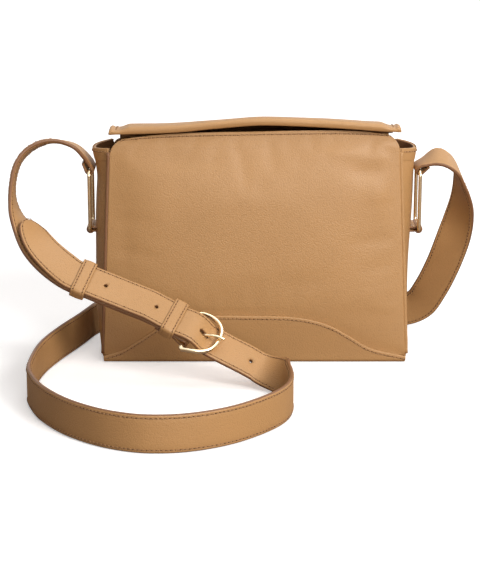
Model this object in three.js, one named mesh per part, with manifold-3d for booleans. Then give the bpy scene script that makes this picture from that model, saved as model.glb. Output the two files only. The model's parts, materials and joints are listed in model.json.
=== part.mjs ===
import * as THREE from "three";
import { mergeVertices } from "three/addons/utils/BufferGeometryUtils.js";
import Module from "manifold-3d";

// Sling bag standing on its base. Millimetres, +X right, +Y back, +Z up, origin under the base.

// Overall sizes
const BASE_WIDTH = 240; // across the front at the base
const TOP_WIDTH = 226; // across the front at the rim
const BASE_DEPTH = 74; // front to back at the base
const TOP_DEPTH = 48; // front to back at the rim
const RIM_HEIGHT = 169; // top edge of the side gussets
const FRONT_HEIGHT = 182.2; // top edge of the front panel, in the middle
const PUFF = 6; // how far the padded front and back swell
const SIDE_BULGE = 2.9; // how far a gusset swells at the base
const SIDE_BULGE_TOP = 10.8; // and how much more at the rim

// Sheets
const LEATHER = 2; // outer panels
const THIN = 1.3; // linings, hems and the flap's leather
const GAP = 0.3; // between pieces that touch
const LAP = LEATHER + GAP;

// Strap and its fittings
const STRAP_WIDTH = 28;
const STRAP_THICK = 3.2;
const STRAP_SKIVED = 1.8; // where it folds round a bar
const RING_OUT = 16.17; // plane of each ring, out from the panels' edge at its upper bar
const RING_Z = 102; // lower bar of each ring
const RING_TALL = 47; // bar to bar
const RING_WIDE = 33.8; // side to side, on the middle of the bars
const BAR_R = 1.5; // ring wire
const TAB_WIDTH = 26;
const BUCKLE_BAR_R = 2;
const KEEPER_LONG = 11;
const KEEPER_THICK = 1.6;
const HOLE_PITCH = 41.3;

const V = (x, y, z) => new THREE.Vector3(x, y, z);
const clamp01 = (t) => Math.min(1, Math.max(0, t));
const smooth = (a, b, x) => {
  const t = clamp01((x - a) / (b - a));
  return t * t * (3 - 2 * t);
};
const steps = (n, a = 0, b = 1) => Array.from({ length: n + 1 }, (_, i) => a + ((b - a) * i) / n);
const power = (x, p) => Math.sign(x) * Math.pow(Math.abs(x), p);

// Reads a value from a short list of [place, value] pairs, with rounded joins.
function graded(pairs) {
  const curve = new THREE.CatmullRomCurve3(pairs.map(([a, b]) => V(a, b, 0)), false, "centripetal");
  const line = curve.getPoints(120);
  return (x) => {
    const k = line.findIndex((p) => p.x >= x);
    if (k < 0) return line.at(-1).y;
    if (k === 0) return line[0].y;
    const [a, b] = [line[k - 1], line[k]];
    return a.y + ((b.y - a.y) * (x - a.x)) / (b.x - a.x);
  };
}

// ---- closed solids -------------------------------------------------------
function closed(points, faces) {
  const volume = faces.reduce((sum, [a, b, c]) => sum + points[a].dot(points[b].clone().cross(points[c])), 0);
  const geometry = new THREE.BufferGeometry();
  geometry.setAttribute("position", new THREE.Float32BufferAttribute(points.flatMap((p) => p.toArray()), 3));
  geometry.setIndex(faces.flatMap(([a, b, c]) => (volume < 0 ? [a, c, b] : [a, b, c])));
  geometry.computeVertexNormals();
  return geometry;
}

// A sheet between two surfaces over the same grid.
function slab(outer, inner, us, vs) {
  const [m, n] = [us.length, vs.length];
  const points = [outer, inner].flatMap((f) => vs.flatMap((v) => us.map((u) => f(u, v))));
  const at = (side, i, j) => side * m * n + j * m + i;
  const faces = [];
  for (let j = 0; j < n - 1; j++) {
    for (let i = 0; i < m - 1; i++) {
      const [a, b, c, d] = [[i, j], [i + 1, j], [i + 1, j + 1], [i, j + 1]];
      faces.push([at(0, ...a), at(0, ...b), at(0, ...c)], [at(0, ...a), at(0, ...c), at(0, ...d)]);
      faces.push([at(1, ...a), at(1, ...c), at(1, ...b)], [at(1, ...a), at(1, ...d), at(1, ...c)]);
    }
  }
  const rim = [];
  for (let i = 0; i < m - 1; i++) rim.push([i, 0]);
  for (let j = 0; j < n - 1; j++) rim.push([m - 1, j]);
  for (let i = m - 1; i > 0; i--) rim.push([i, n - 1]);
  for (let j = n - 1; j > 0; j--) rim.push([0, j]);
  rim.forEach((a, k) => {
    const b = rim[(k + 1) % rim.length];
    faces.push([at(0, ...b), at(0, ...a), at(1, ...a)], [at(0, ...b), at(1, ...a), at(1, ...b)]);
  });
  return closed(points, faces);
}

// Rings of equal length joined in order, with flat ends, or closed on themselves.
function loft(rings, endless = false) {
  const n = rings[0].length;
  const faces = [];
  const last = endless ? rings.length : rings.length - 1;
  for (let k = 0; k < last; k++) {
    const next = ((k + 1) % rings.length) * n;
    for (let i = 0; i < n; i++) {
      const j = (i + 1) % n;
      faces.push([k * n + i, k * n + j, next + j], [k * n + i, next + j, next + i]);
    }
  }
  const points = rings.flat();
  if (!endless) {
    const end = (rings.length - 1) * n;
    for (let i = 1; i < n - 1; i++) faces.push([0, i + 1, i], [end, end + i, end + i + 1]);
  }
  return closed(points, faces);
}

const wasm = await Module();
wasm.setup();

function manifold(source) {
  const bare = new THREE.BufferGeometry();
  bare.setAttribute("position", source.attributes.position);
  bare.setIndex(source.index);
  const geometry = mergeVertices(bare, 1e-4);
  return new wasm.Manifold(new wasm.Mesh({
    numProp: 3,
    vertProperties: new Float32Array(geometry.attributes.position.array),
    triVerts: new Uint32Array(geometry.index.array),
  }));
}

function cut(geometry, tools) {
  let solid = manifold(geometry);
  for (const tool of tools) solid = solid.subtract(manifold(tool));
  const mesh = solid.getMesh();
  const result = new THREE.BufferGeometry();
  result.setAttribute("position", new THREE.BufferAttribute(mesh.vertProperties.slice(), 3));
  result.setIndex(new THREE.BufferAttribute(mesh.triVerts.slice(), 1));
  result.computeVertexNormals();
  return result;
}

// ---- the bag's shape ------------------------------------------------------
const halfWidth = (z) => (BASE_WIDTH - ((BASE_WIDTH - TOP_WIDTH) * z) / RIM_HEIGHT) / 2;
const halfDepth = (z) => (BASE_DEPTH - (BASE_DEPTH - TOP_DEPTH) * Math.pow(Math.max(0, z) / RIM_HEIGHT, 1.3)) / 2;
const RING_X = halfWidth(RING_Z + RING_TALL) + RING_OUT;
const puff = (u, z) =>
  PUFF * (1 - Math.pow(Math.min(1, Math.abs(u)), 3)) * smooth(-4, 48, z) * (1 - 0.75 * smooth(130, 184, z));
const frontTop = (x) => FRONT_HEIGHT + 0.017 * x - 2.2 * Math.pow(x / 100, 4);
const backTop = () => RIM_HEIGHT;

// A point on the front (way -1) or back (way 1), set in by some depth.
function onFace(way, u, z, depth, half = halfWidth(z)) {
  const curl = way < 0 ? 4 * smooth(FRONT_HEIGHT - 12, FRONT_HEIGHT + 2, z) : 0;
  return V(u * half, way * (halfDepth(z) + puff(u, z) - depth - curl), z);
}

// Whole panel with rounded top corners.
function panel(way, top, corner) {
  const bottom = 5;
  const f = (depth) => (u, v) => {
    const high = top(u * halfWidth(RIM_HEIGHT));
    const z = bottom + (high - bottom) * v;
    const turn = clamp01((z - high + corner) / corner);
    return onFace(way, u, z, depth, halfWidth(z) - corner * (1 - Math.sqrt(1 - turn * turn)));
  };
  const rows = [0, 0.06, 0.13, 0.2, 0.28, 0.4, 0.52, 0.64, 0.75, 0.84, 0.9, 0.93, 0.955, 0.975, 0.99, 1];
  return slab(f(0), f(LEATHER), steps(20, -1, 1), rows);
}

// Sheet inside the front or back, between two heights and two depths.
function layer(way, depth, thick, reach, low, high, nu = 12, nv = 8) {
  const f = (d) => (u, v) => onFace(way, u * reach, low + (high - low) * v, d);
  return slab(f(depth), f(depth + thick), steps(nu, -1, 1), steps(nv));
}

// Base leather: up the front to a shaped edge, under the bag, and a little way up the back.
const yokeEdge = graded([
  [-122, 4.4], [-107, 8.8], [-91, 18.7], [-67, 34.4], [-43, 38.6], [-1, 39], [36, 37.4], [59, 31.1],
  [75, 22], [91, 12.1], [122, 4.4],
]);
const BASE_TURN = 3;
const BACK_YOKE = 20;
function baseWrap() {
  const f = (u, v) => {
    const way = v < 2.5 ? -1 : 1;
    const s = way < 0 ? v : 5 - v;
    const edge = way < 0 ? yokeEdge(u * BASE_WIDTH / 2) : BACK_YOKE;
    const deep = -onFace(-1, u, BASE_TURN, -LAP).y;
    if (s < 1) {
      return onFace(way, u, edge + (BASE_TURN - edge) * s, -LAP);
    }
    if (s < 2) {
      const a = ((s - 1) * Math.PI) / 2;
      const y = deep - BASE_TURN + BASE_TURN * Math.cos(a);
      return V(u * halfWidth(BASE_TURN), way * y, BASE_TURN - BASE_TURN * Math.sin(a));
    }
    return V(u * halfWidth(BASE_TURN), way * (deep - BASE_TURN) * (1 - 2 * (s - 2)), 0);
  };
  const rows = [0, 0.33, 0.66, 1.001, 1.33, 1.66, 2, 2.25, 2.75, 3, 3.34, 3.67, 3.999, 4.5, 5];
  const back = (u, v) => {
    const p = f(u, v);
    const s = v < 2.5 ? v : 5 - v;
    const a = (clamp01(s - 1) * Math.PI) / 2;
    const way = v < 2.5 ? -1 : 1;
    return p.add(V(0, -way * LEATHER * Math.cos(a), LEATHER * Math.sin(a)));
  };
  return slab(f, back, steps(32, -1, 1), rows);
}

// Side gusset: a sheet between the front and back edges that swells outward.
// the left one sags fuller lower down
const bulge = (way, z) => SIDE_BULGE + (way > 0 ? SIDE_BULGE_TOP * Math.pow(Math.max(0, z) / RIM_HEIGHT, 1.5)
  : 7.3 * Math.pow(Math.sin((Math.PI / 2) * clamp01(z / 75)), 1.1) + 3.5 * smooth(140, RIM_HEIGHT, z));
const rimAt = (v) => RIM_HEIGHT - 2 * (1 - Math.pow(2 * v - 1, 2));
function onSide(way, v, z, out) {
  const reach = halfDepth(z) - LEATHER - 2 * GAP;
  const swell = bulge(way, z) * (1 - Math.pow(Math.abs(2 * v - 1), 2.6));
  return V(way * (halfWidth(z) + GAP + swell + out), (2 * v - 1) * reach, z);
}
function gusset(way) {
  const low = LEATHER + 2 * GAP;
  const f = (out) => (v, w) => onSide(way, v, low + (rimAt(v) - low) * w, out);
  const skin = slab(f(0), f(-LEATHER), steps(14), steps(12));
  const slit = new THREE.BoxGeometry(60, TAB_WIDTH + 2 * GAP, 5).translate(way * RING_X, 0, RING_Z);
  return cut(skin, [slit]);
}
function gussetHem(way) {
  const f = (out) => (v, w) => onSide(way, v, rimAt(v) - 10 * (1 - w), out);
  return slab(f(GAP + THIN), f(GAP), steps(14), steps(2));
}

// Thin turned edge along each upright seam.
function welt(way, side) {
  const rings = steps(14, 6.5, RIM_HEIGHT - 3).map((z) => {
    const c = V(side * (halfWidth(z) + GAP + 0.95), way * (halfDepth(z) - 0.95), z);
    return steps(8, 0, 2 * Math.PI).slice(0, 8).map((a) => V(c.x + 0.95 * Math.cos(a), c.y + 1.05 * Math.sin(a), z));
  });
  return loft(rings);
}

// Lining: an open-topped pouch with its own thickness.
function liningBag() {
  const floor = LEATHER + GAP + 2.4;
  const ring = (t, inset) => {
    const row = (way) => steps(12, -way, way).map((u) => {
      const rim = way < 0 ? FRONT_HEIGHT - 5 - 12 * Math.pow(Math.abs(u), 6) : RIM_HEIGHT - 4;
      const z = floor + inset + (rim - floor - inset) * t;
      return onFace(way, u, z, LEATHER + 3.4 + inset, halfWidth(z) - 3.2 - inset);
    });
    return [...row(1), ...row(-1)];
  };
  const rise = [0, 0.06, 0.14, 0.25, 0.4, 0.55, 0.7, 0.85, 0.93, 1];
  return loft([...rise.map((t) => ring(t, 0)), ...rise.toReversed().map((t) => ring(t, 0.9))]);
}

// ---- the flap ---------------------------------------------------------------
const flapSag = graded([
  [-116, -7.6], [-100, -7], [-62, -5.6], [-33, -2.8], [0, -0.1], [13, 0], [40, -0.9], [70, -2.6], [98, -4.6],
  [116, -5.6],
]);
const FLAP_HALF = TOP_WIDTH / 2 + 0.5;
const FLAP_FRONT = -28;
const FLAP_BACK = 23.4;
const LIP = 5.6; // height of the padded lip
const FLANGE = 3.4; // height of its thin ends
function flapUnder(x, y) {
  const back = Math.pow(Math.max(0, y + 21) / 45, 1.6);
  const front = Math.pow(Math.max(0, -21 - y) / 7, 2);
  return FRONT_HEIGHT + 5.7 - 17.3 * back - 0.5 * front + flapSag(x) * clamp01((24 - y) / 44);
}
function flapThick(x) {
  const end = smooth(FLAP_HALF - 16.5, FLAP_HALF - 7.5, Math.abs(x));
  const bead = Math.exp(-Math.pow((Math.abs(x) - FLAP_HALF + 2.1) / 1.5, 2));
  return LIP + (FLANGE - LIP) * end + 1.1 * bead;
}
const flapX = [-1, -0.99, -0.98, -0.97, -0.95, -0.92, -0.88, -0.84];
const flapUs = [...flapX, ...steps(16, -0.78, 0.78), ...flapX.map((u) => -u).toReversed()];
function flapCover() {
  // v 0 to 1 goes up the nose, 1 to 2 back along the top
  const f = (u, v) => {
    const x = u * FLAP_HALF;
    const a = (clamp01(v) * Math.PI) / 2;
    const nose = 4.5;
    if (v < 1) {
      const y = FLAP_FRONT + nose * (1 - Math.cos(a));
      return V(x, y - 0.8 * Math.sin(2 * a), flapUnder(x, y) + flapThick(x) * Math.pow(Math.sin(a), 0.8));
    }
    const y = FLAP_FRONT + nose + (FLAP_BACK - FLAP_FRONT - nose) * (v - 1);
    return V(x, y, flapUnder(x, y) + flapThick(x));
  };
  const inner = (u, v) => {
    const a = (smooth(0, 1, v) * Math.PI) / 2;
    return f(u, v).add(V(0, THIN * Math.cos(a), -THIN * Math.sin(a)));
  };
  return slab(f, inner, flapUs, [0, 0.2, 0.4, 0.6, 0.8, 1, 1.1, 1.22, 1.36, 1.52, 1.68, 1.84, 2]);
}
function flapSheet(low, high, x0, x1, y0, y1, nu) {
  const f = (d) => (u, v) => {
    const [x, y] = [x0 + (x1 - x0) * u, y0 + (y1 - y0) * v];
    return V(x, y, flapUnder(x, y) + d(x));
  };
  return slab(f(high), f(low), steps(nu), steps(8));
}
// Leather hinge: sewn to the back panel, over the rear edge of the flap.
function flapHinge() {
  const f = (depth) => (u, v) => {
    const x = u * (FLAP_HALF - 5.5);
    const low = RIM_HEIGHT - 21;
    if (v < 1) {
      const z = low + (RIM_HEIGHT - low) * v;
      return V(x, onFace(1, x / halfWidth(z), z, -GAP - depth).y, z);
    }
    const a = ((v - 1) * Math.PI) / 2;
    const [y0, z0] = [17.5, RIM_HEIGHT];
    const rise = flapUnder(x, y0) + flapThick(x) - z0 + 2 * GAP + depth;
    const reach = onFace(1, x / halfWidth(z0), z0, -GAP - depth).y - y0;
    return V(x, y0 + reach * Math.pow(Math.cos(a), 0.75), z0 + rise * Math.pow(Math.sin(a), 0.9));
  };
  return slab(f(THIN), f(0), steps(18, -1, 1), [0, 0.33, 0.66, 0.99, 1.15, 1.3, 1.45, 1.6, 1.75, 1.88, 2]);
}

// ---- bands, straps and rods ---------------------------------------------------
// Each station is a centre, the way across the band, and a thickness.
const at = (p, w, thick = STRAP_THICK) => ({ p: V(...p), w: V(...w).normalize(), thick });

function frames(stations, step) {
  const place = new THREE.CatmullRomCurve3(stations.map((s) => s.p), false, "centripetal");
  const cross = new THREE.CatmullRomCurve3(stations.map((s) => s.w), false, "catmullrom", 0.5);
  const spans = stations.length - 1;
  const found = [];
  const add = (i, f) => {
    const t = (i + f) / spans;
    const tangent = place.getTangent(t);
    const w = cross.getPoint(t).addScaledVector(tangent, -cross.getPoint(t).dot(tangent)).normalize();
    const thick = stations[i].thick + (stations[Math.min(i + 1, spans)].thick - stations[i].thick) * f;
    found.push({ p: place.getPoint(t), w, n: tangent.cross(w).normalize(), thick });
  };
  for (let i = 0; i < spans; i++) {
    const count = Math.max(1, Math.round(stations[i].p.distanceTo(stations[i + 1].p) / step));
    for (let k = 0; k < count; k++) add(i, k / count);
  }
  add(spans - 1, 1);
  return found;
}

function band(list, width, tip = 0) {
  let run = 0;
  const rings = list.toReversed().map((s, k, all) => {
    if (k) run += s.p.distanceTo(all[k - 1].p);
    const d = Math.min(tip, run);
    const half = tip ? width / 2 - tip + Math.sqrt(tip * tip - (tip - d) * (tip - d) + 4) * (tip / Math.hypot(tip, 2)) : width / 2;
    const t = s.thick / 2;
    const c = Math.min(0.6, t * 0.6);
    return [[half, c - t], [half, t - c], [half - c, t], [c - half, t], [-half, t - c], [-half, c - t], [c - half, -t],
      [half - c, -t]].map(([a, b]) => s.p.clone().addScaledVector(s.w, a).addScaledVector(s.n, b));
  });
  return loft(rings);
}

// Rod through points (rounded), with an oval section given in two directions.
function rod(points, wide, tall, up, endless = false, sides = 8) {
  const n = points.length;
  const rings = points.map((p, k) => {
    const before = points[endless ? (k + n - 1) % n : Math.max(0, k - 1)];
    const after = points[endless ? (k + 1) % n : Math.min(n - 1, k + 1)];
    const t = after.clone().sub(before).normalize();
    const b = up.clone().addScaledVector(t, -up.dot(t)).normalize();
    const a = b.clone().cross(t);
    return steps(sides, 0, 2 * Math.PI).slice(0, sides).map((g) =>
      p.clone().addScaledVector(a, wide * Math.cos(g)).addScaledVector(b, tall * Math.sin(g)));
  });
  return loft(rings, endless);
}

function ring(way) {
  const [hy, hz, r] = [RING_WIDE / 2, RING_TALL / 2, 3.5];
  const points = [];
  for (const [sy, sz, a0] of [[1, -1, -90], [1, 1, 0], [-1, 1, 90], [-1, -1, 180]]) {
    for (const a of steps(4, a0, a0 + 90)) {
      const g = (a * Math.PI) / 180;
      const y = sy * (hy - r) + r * Math.cos(g);
      points.push(V(way * RING_X, y, RING_Z + hz + sz * (hz - r) + r * Math.sin(g)));
    }
    if (sz * sy < 0) points.push(V(way * RING_X, sy * hy, RING_Z + hz));
  }
  return rod(points, BAR_R, BAR_R, V(1, 0, 0), true, 10);
}

// Leather tab round the ring's lower bar, through the slit and sewn inside.
function ringTab(way) {
  const r = BAR_R + GAP + 0.8;
  const q = (x, z) => at([way * x, 0, RING_Z + z], [0, 1, 0], 1.6);
  const round = steps(8, 150, -150).map((a) =>
    q(RING_X + r * Math.cos((a * Math.PI) / 180), r * Math.sin((a * Math.PI) / 180)));
  const tail = RING_X - 13;
  return band(frames([q(tail, 1.3), q(tail + 4, 1.3), q(RING_X - 4, 1.35), ...round, q(RING_X - 4, -1.35),
    q(tail + 4, -1.3), q(tail, -1.3)], 6), TAB_WIDTH);
}

// The strap's end folds round the ring's upper bar; the fold lies under the strap.
function ringFold(way, dx, dz, side) {
  const r = BAR_R + GAP + STRAP_SKIVED / 2;
  const c = V(way * RING_X, 0, RING_Z + RING_TALL);
  const d = V(dx, 0, dz).normalize();
  const n = V(-side * d.z, 0, side * d.x);
  const q = (along, out, thick = STRAP_SKIVED) => {
    const p = c.clone().addScaledVector(d, along).addScaledVector(n, out);
    return at(p.toArray(), [0, 1, 0], thick);
  };
  const turn = [-60, -30, 0, 30, 60].map((a) => {
    const g = (a * Math.PI) / 180;
    return q(-r * Math.cos(g), r * Math.sin(g));
  });
  return [q(11, -0.45), q(8, -0.5), q(4.2, -1.6), q(1, -r), ...turn, q(1, r), q(5, r, 2.6)];
}

// ---- the buckle's own frame: a along the strap, l across it upward, n out of its face ----
const BUCKLE_AT = V(-49.2, -92, 43);
const ALONG = V(0.885, -0.123, -0.449).normalize();
const ACROSS = V(0.375, 0.76, 0.531).addScaledVector(ALONG, -V(0.375, 0.76, 0.531).dot(ALONG)).normalize();
const OUT = ALONG.clone().cross(ACROSS);
const buckle = (a, l, n) =>
  BUCKLE_AT.clone().addScaledVector(ALONG, a).addScaledVector(ACROSS, l).addScaledVector(OUT, n);
const inBuckle = (a, n, thick = STRAP_THICK) => at(buckle(a, 0, n).toArray(), ACROSS.toArray(), thick);
// the straps turn a little towards the left end: a frame there, at the sliding keeper
const UPPER_AT = V(-130.8, -82, 78.2);
const UPPER_ALONG = V(0.929, -0.105, -0.355).normalize();
const UPPER_ACROSS = V(0.34, 0.76, 0.55).addScaledVector(UPPER_ALONG, -V(0.34, 0.76, 0.55).dot(UPPER_ALONG)).normalize();
const UPPER_OUT = UPPER_ALONG.clone().cross(UPPER_ACROSS);
const upper = (a, l, n) =>
  UPPER_AT.clone().addScaledVector(UPPER_ALONG, a).addScaledVector(UPPER_ACROSS, l).addScaledVector(UPPER_OUT, n);
const inUpper = (a, n) => at(upper(a, 0, n).toArray(), UPPER_ACROSS.toArray());
const BAR_N = -2.5; // bar of the buckle below the strap's middle
const OVER = STRAP_THICK + GAP; // one strap lying on the other

const shortRun = [
  ...ringFold(-1, -5.95, 8.03, -1),
  at([-137.8, -2.5, 163.1], [-0.2, 0.99, 0.09]),
  at([-145.2, -5, 168.5], [-0.3, 0.96, -0.04]),
  at([-157.4, -9, 172.1], [-0.28, 0.95, -0.2]),
  at([-169.6, -13.5, 170.4], [-0.29, 0.9, -0.33]),
  at([-180.2, -19, 163.6], [-0.27, 0.84, -0.48]),
  at([-186.2, -27, 152.9], [-0.14, 0.82, -0.57]),
  at([-187.7, -37, 139.1], [-0.03, 0.8, -0.6]),
  at([-184.7, -47, 126.3], [0.19, 0.86, -0.46]),
  at([-178.4, -56, 115.6], [0.46, 0.85, -0.22]),
  at([-168.4, -65, 101.7], [0.62, 0.77, 0.15]),
  at([-156.5, -72.5, 91], [0.54, 0.76, 0.37]),
  inUpper(-9, 0), inUpper(0, 0), inUpper(18, 0), inUpper(38, 0), inBuckle(-36, 0),
];
const shortFrames = frames(shortRun, 9);

function buckleStrap() {
  const r = BUCKLE_BAR_R + GAP + STRAP_SKIVED / 2;
  const turn = [90, 60, 30, 0, -30, -60, -90].map((g) =>
    inBuckle(r * Math.cos((g * Math.PI) / 180), BAR_N + r * Math.sin((g * Math.PI) / 180), STRAP_SKIVED));
  const thin = (a, n) => inBuckle(a, n, STRAP_SKIVED);
  const run = [...shortRun, thin(-28, 0.7), thin(-20, 0.7), thin(-10, 0.7), thin(-4, 0.7), ...turn, thin(-3.6, -4.6),
    thin(-6.8, -2.3), thin(-9.4, -1.45), thin(-14, -1.4), thin(-24, -1.4)];
  const slot = box(-5.2, 6, -1.9, 1.9, -9, 3);
  return cut(band(frames(run, 9), STRAP_WIDTH), [slot]);
}

// A box in the buckle's frame.
function box(a0, a1, l0, l1, n0, n1) {
  const f = (n) => (u, v) => buckle(a0 + (a1 - a0) * u, l0 + (l1 - l0) * v, n);
  return slab(f(n1), f(n0), [0, 1], [0, 1]);
}

// Round or long hole through the strap.
function bore(frame, a, r, stretch = 0) {
  const section = steps(12, 0, 2 * Math.PI).slice(0, 12);
  const level = (n) => section.map((g) => frame(a + r * Math.cos(g) + stretch * Math.sign(Math.cos(g) + 1e-9),
    r * Math.sin(g), n));
  return loft([level(-12), level(12)]);
}

const PRONG_HOLE = 10.8;
function longStrap() {
  const flat = (x, y, w = [0, 0, 1]) => at([x, y, STRAP_WIDTH / 2 + 0.2], w);
  // its end lies over the buckle strap, following that strap's own curve
  const over = shortFrames.toReversed().filter((s) => s.p.clone().sub(BUCKLE_AT).dot(ALONG) < -30 && s.p.z < 115.7)
    .map((s) => {
      const past = clamp01((-11 - s.p.clone().sub(UPPER_AT).dot(UPPER_ALONG)) / 12);
      return { p: s.p.clone().addScaledVector(s.n, OVER + 2.4 * past), w: s.w, thick: STRAP_THICK };
    });
  const run = [
    ...ringFold(1, 8.93, 4.49, 1),
    at([143.8, -1.5, 158.4], [0.05, 0.96, 0.27]),
    at([152.5, -2, 156], [0.1, 0.97, 0.2]),
    at([160.5, 1, 148], [0.05, 1, 0.05]),
    at([165, 7, 134], [-0.2, 0.98, -0.02]),
    at([167, 13, 118], [-0.5, 0.86, -0.08]),
    at([165.5, 20, 101], [-0.75, 0.65, -0.05]),
    at([161, 28, 80], [-0.93, 0.33, 0.1]),
    at([155, 38, 58], [-0.93, 0.2, 0.3]),
    at([147.5, 48, 37.5], [-0.85, 0.12, 0.5]),
    at([139, 57, 21.5], [-0.62, 0.08, 0.78]),
    at([127, 62.5, 15], [-0.25, 0.03, 0.97]),
    flat(108, 65), flat(60, 67), flat(0, 71), flat(-60, 76), flat(-94, 75), flat(-115, 66), flat(-129.3, 42.8),
    flat(-141.3, 5.7), flat(-155.9, -37.8), flat(-164, -69.2), flat(-167.6, -100), flat(-167.4, -139.2),
    flat(-163, -157), flat(-154.7, -178.8), flat(-137.5, -206.3), flat(-119, -225.6), flat(-100.4, -238.6),
    flat(-79.8, -246.3), flat(-59.5, -246.8), flat(-42.7, -242.8), flat(-22.6, -232.7), flat(-5.4, -218.6),
    flat(12, -198.1), flat(20.8, -182.3), flat(25, -167), flat(26, -148), flat(24.5, -130, [0, 0.1, 1]),
    at([19, -113.5, 13.3], [0.22, 0.56, 0.8]),
    inBuckle(61, -2), inBuckle(48, -1.5), inBuckle(34, -1.9), inBuckle(25, -2), inBuckle(20, -1.9),
    inBuckle(15, -1.1), inBuckle(10, 1.7), inBuckle(5, 4.4), inBuckle(0, 5.1), inBuckle(-4, 4.6),
    inBuckle(-8.5, OVER), inBuckle(-14, OVER), inBuckle(-25, OVER), ...over,
  ];
  const holes = [bore(buckle, PRONG_HOLE, 1.9, 2.3), bore(buckle, PRONG_HOLE + HOLE_PITCH, 1.5),
    bore(buckle, PRONG_HOLE - HOLE_PITCH, 1.5), bore(upper, 17.7, 1.5)];
  return cut(band(frames(run, 9), STRAP_WIDTH, 12), holes);
}

// Bow and bar in one closed loop.
function buckleFrame() {
  const points = [];
  for (const g of steps(20, -90, 90)) {
    const [c, s] = [Math.cos((g * Math.PI) / 180), Math.sin((g * Math.PI) / 180)];
    points.push(buckle(1.2 + 22 * power(Math.max(c, 1e-4), 0.8), 18.6 * power(s, 0.8), BAR_N + 7.4 * power(Math.max(c, 1e-4), 0.5)));
  }
  points.push(buckle(0.2, 17.6, BAR_N), buckle(0, 15, BAR_N), buckle(0, 5, BAR_N), buckle(0, -5, BAR_N),
    buckle(0, -15, BAR_N), buckle(0.2, -17.6, BAR_N));
  return rod(points, 1.6, 2, OUT, true, 10);
}
function buckleProng() {
  const r = 3.5;
  const hook = steps(8, 150, 350).map((g) =>
    buckle(r * Math.cos((g * Math.PI) / 180), 0, BAR_N + r * Math.sin((g * Math.PI) / 180)));
  const run = [[5.2, -1.7], [8, -0.3], [10.8, 1.4], [14, 3.7], [17.5, 6.2], [21, 8], [24, 8.7], [27, 8.7]];
  const line = new THREE.CatmullRomCurve3([...hook, ...run.map(([a, n]) => buckle(a, 0, n))], false, "centripetal");
  return rod(line.getPoints(26), 1.15, 1.15, ACROSS);
}
// Closed band of leather round the straps.
function keeper(frame, mid, low) {
  const high = STRAP_THICK / 2 + OVER + GAP;
  const [half, r, t] = [STRAP_WIDTH / 2 + GAP, 1, KEEPER_THICK];
  const centre = (high + low) / 2;
  const rise = (high - low) / 2;
  const loop = [];
  for (const [sl, sn, a0] of [[1, -1, -90], [1, 1, 0], [-1, 1, 90], [-1, -1, 180]]) {
    for (const a of steps(3, a0, a0 + 90)) {
      const g = (a * Math.PI) / 180;
      loop.push([sl * (half - r), centre + sn * (rise - r), Math.cos(g), Math.sin(g)]);
    }
  }
  const rings = loop.map(([l, n, c, s]) =>
    [[-KEEPER_LONG / 2, r], [KEEPER_LONG / 2, r], [KEEPER_LONG / 2, r + t * 0.7], [KEEPER_LONG / 4, r + t],
      [-KEEPER_LONG / 4, r + t], [-KEEPER_LONG / 2, r + t * 0.7]].map(([a, d]) => frame(mid + a, l + d * c, n + d * s)));
  return loft(rings, true);
}

// ---- assembly --------------------------------------------------------------
const leather = { color: 0xbb8f60, roughness: 0.55, metalness: 0 };
const darker = { color: 0xa97b4e, roughness: 0.6, metalness: 0 };
const gold = { color: 0xd9b877, roughness: 0.22, metalness: 1 };
const cloth = { color: 0x8a6744, roughness: 0.9, metalness: 0 };
const foam = { color: 0xe9e2cf, roughness: 0.95, metalness: 0 };
const board = { color: 0x9c8f7c, roughness: 0.9, metalness: 0 };
const steel = { color: 0x8f9296, roughness: 0.35, metalness: 1 };

const bag = new THREE.Group();
bag.name = "sling_bag";
function piece(name, geometry, look) {
  const mesh = new THREE.Mesh(geometry, new THREE.MeshStandardMaterial(look));
  mesh.name = name;
  bag.add(mesh);
}

piece("front_panel", panel(-1, frontTop, 13), leather);
piece("back_panel", panel(1, backTop, 6), leather);
piece("base_wrap", baseWrap(), leather);
for (const [name, way] of [["left", -1], ["right", 1]]) {
  piece(`${name}_gusset`, gusset(way), leather);
  piece(`${name}_gusset_hem`, gussetHem(way), leather);
  piece(`${name}_ring_tab`, ringTab(way), darker);
  piece(`${name}_ring`, ring(way), gold);
  piece(`front_${name}_welt`, welt(-1, way), darker);
  piece(`back_${name}_welt`, welt(1, way), darker);
}
piece("front_foam", layer(-1, LEATHER + GAP, 2.6, 0.93, 9, 152), foam);
piece("back_board", layer(1, LEATHER + GAP, 1.8, 0.93, 9, 150), board);
piece("base_board", new THREE.BoxGeometry(BASE_WIDTH - 18, BASE_DEPTH - 12, 1.8).translate(0, 0, LEATHER + GAP + 0.95), board);
piece("lining", liningBag(), cloth);
piece("slip_pocket", layer(1, LEATHER + 3.4 + 0.9 + 2 * GAP, 0.9, 0.5, 48, 128, 8, 6), cloth);
piece("pocket_binding", layer(1, LEATHER + 3.4 + 1.8 + 4 * GAP, 0.9, 0.5, 120, 130, 8, 2), darker);
piece("body_magnet", layer(-1, LEATHER + GAP, 2, 0.14, 157, 169, 4, 2), steel);

piece("flap_cover", flapCover(), leather);
piece("flap_lining", flapSheet(() => 0, () => THIN, 2.5 - FLAP_HALF, FLAP_HALF - 2.5, FLAP_FRONT + THIN + 0.7, FLAP_BACK, 24), cloth);
const foamTop = (x) => flapThick(x) - THIN - GAP;
piece("flap_foam", flapSheet(() => THIN + GAP, foamTop, 17.5 - FLAP_HALF, FLAP_HALF - 17.5, -16, FLAP_BACK - 2, 20), foam);
piece("flap_magnet", flapSheet(() => THIN + GAP, () => THIN + GAP + 1.6, -10, 26, -24, -18, 6), steel);
piece("flap_hinge", flapHinge(), leather);

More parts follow.
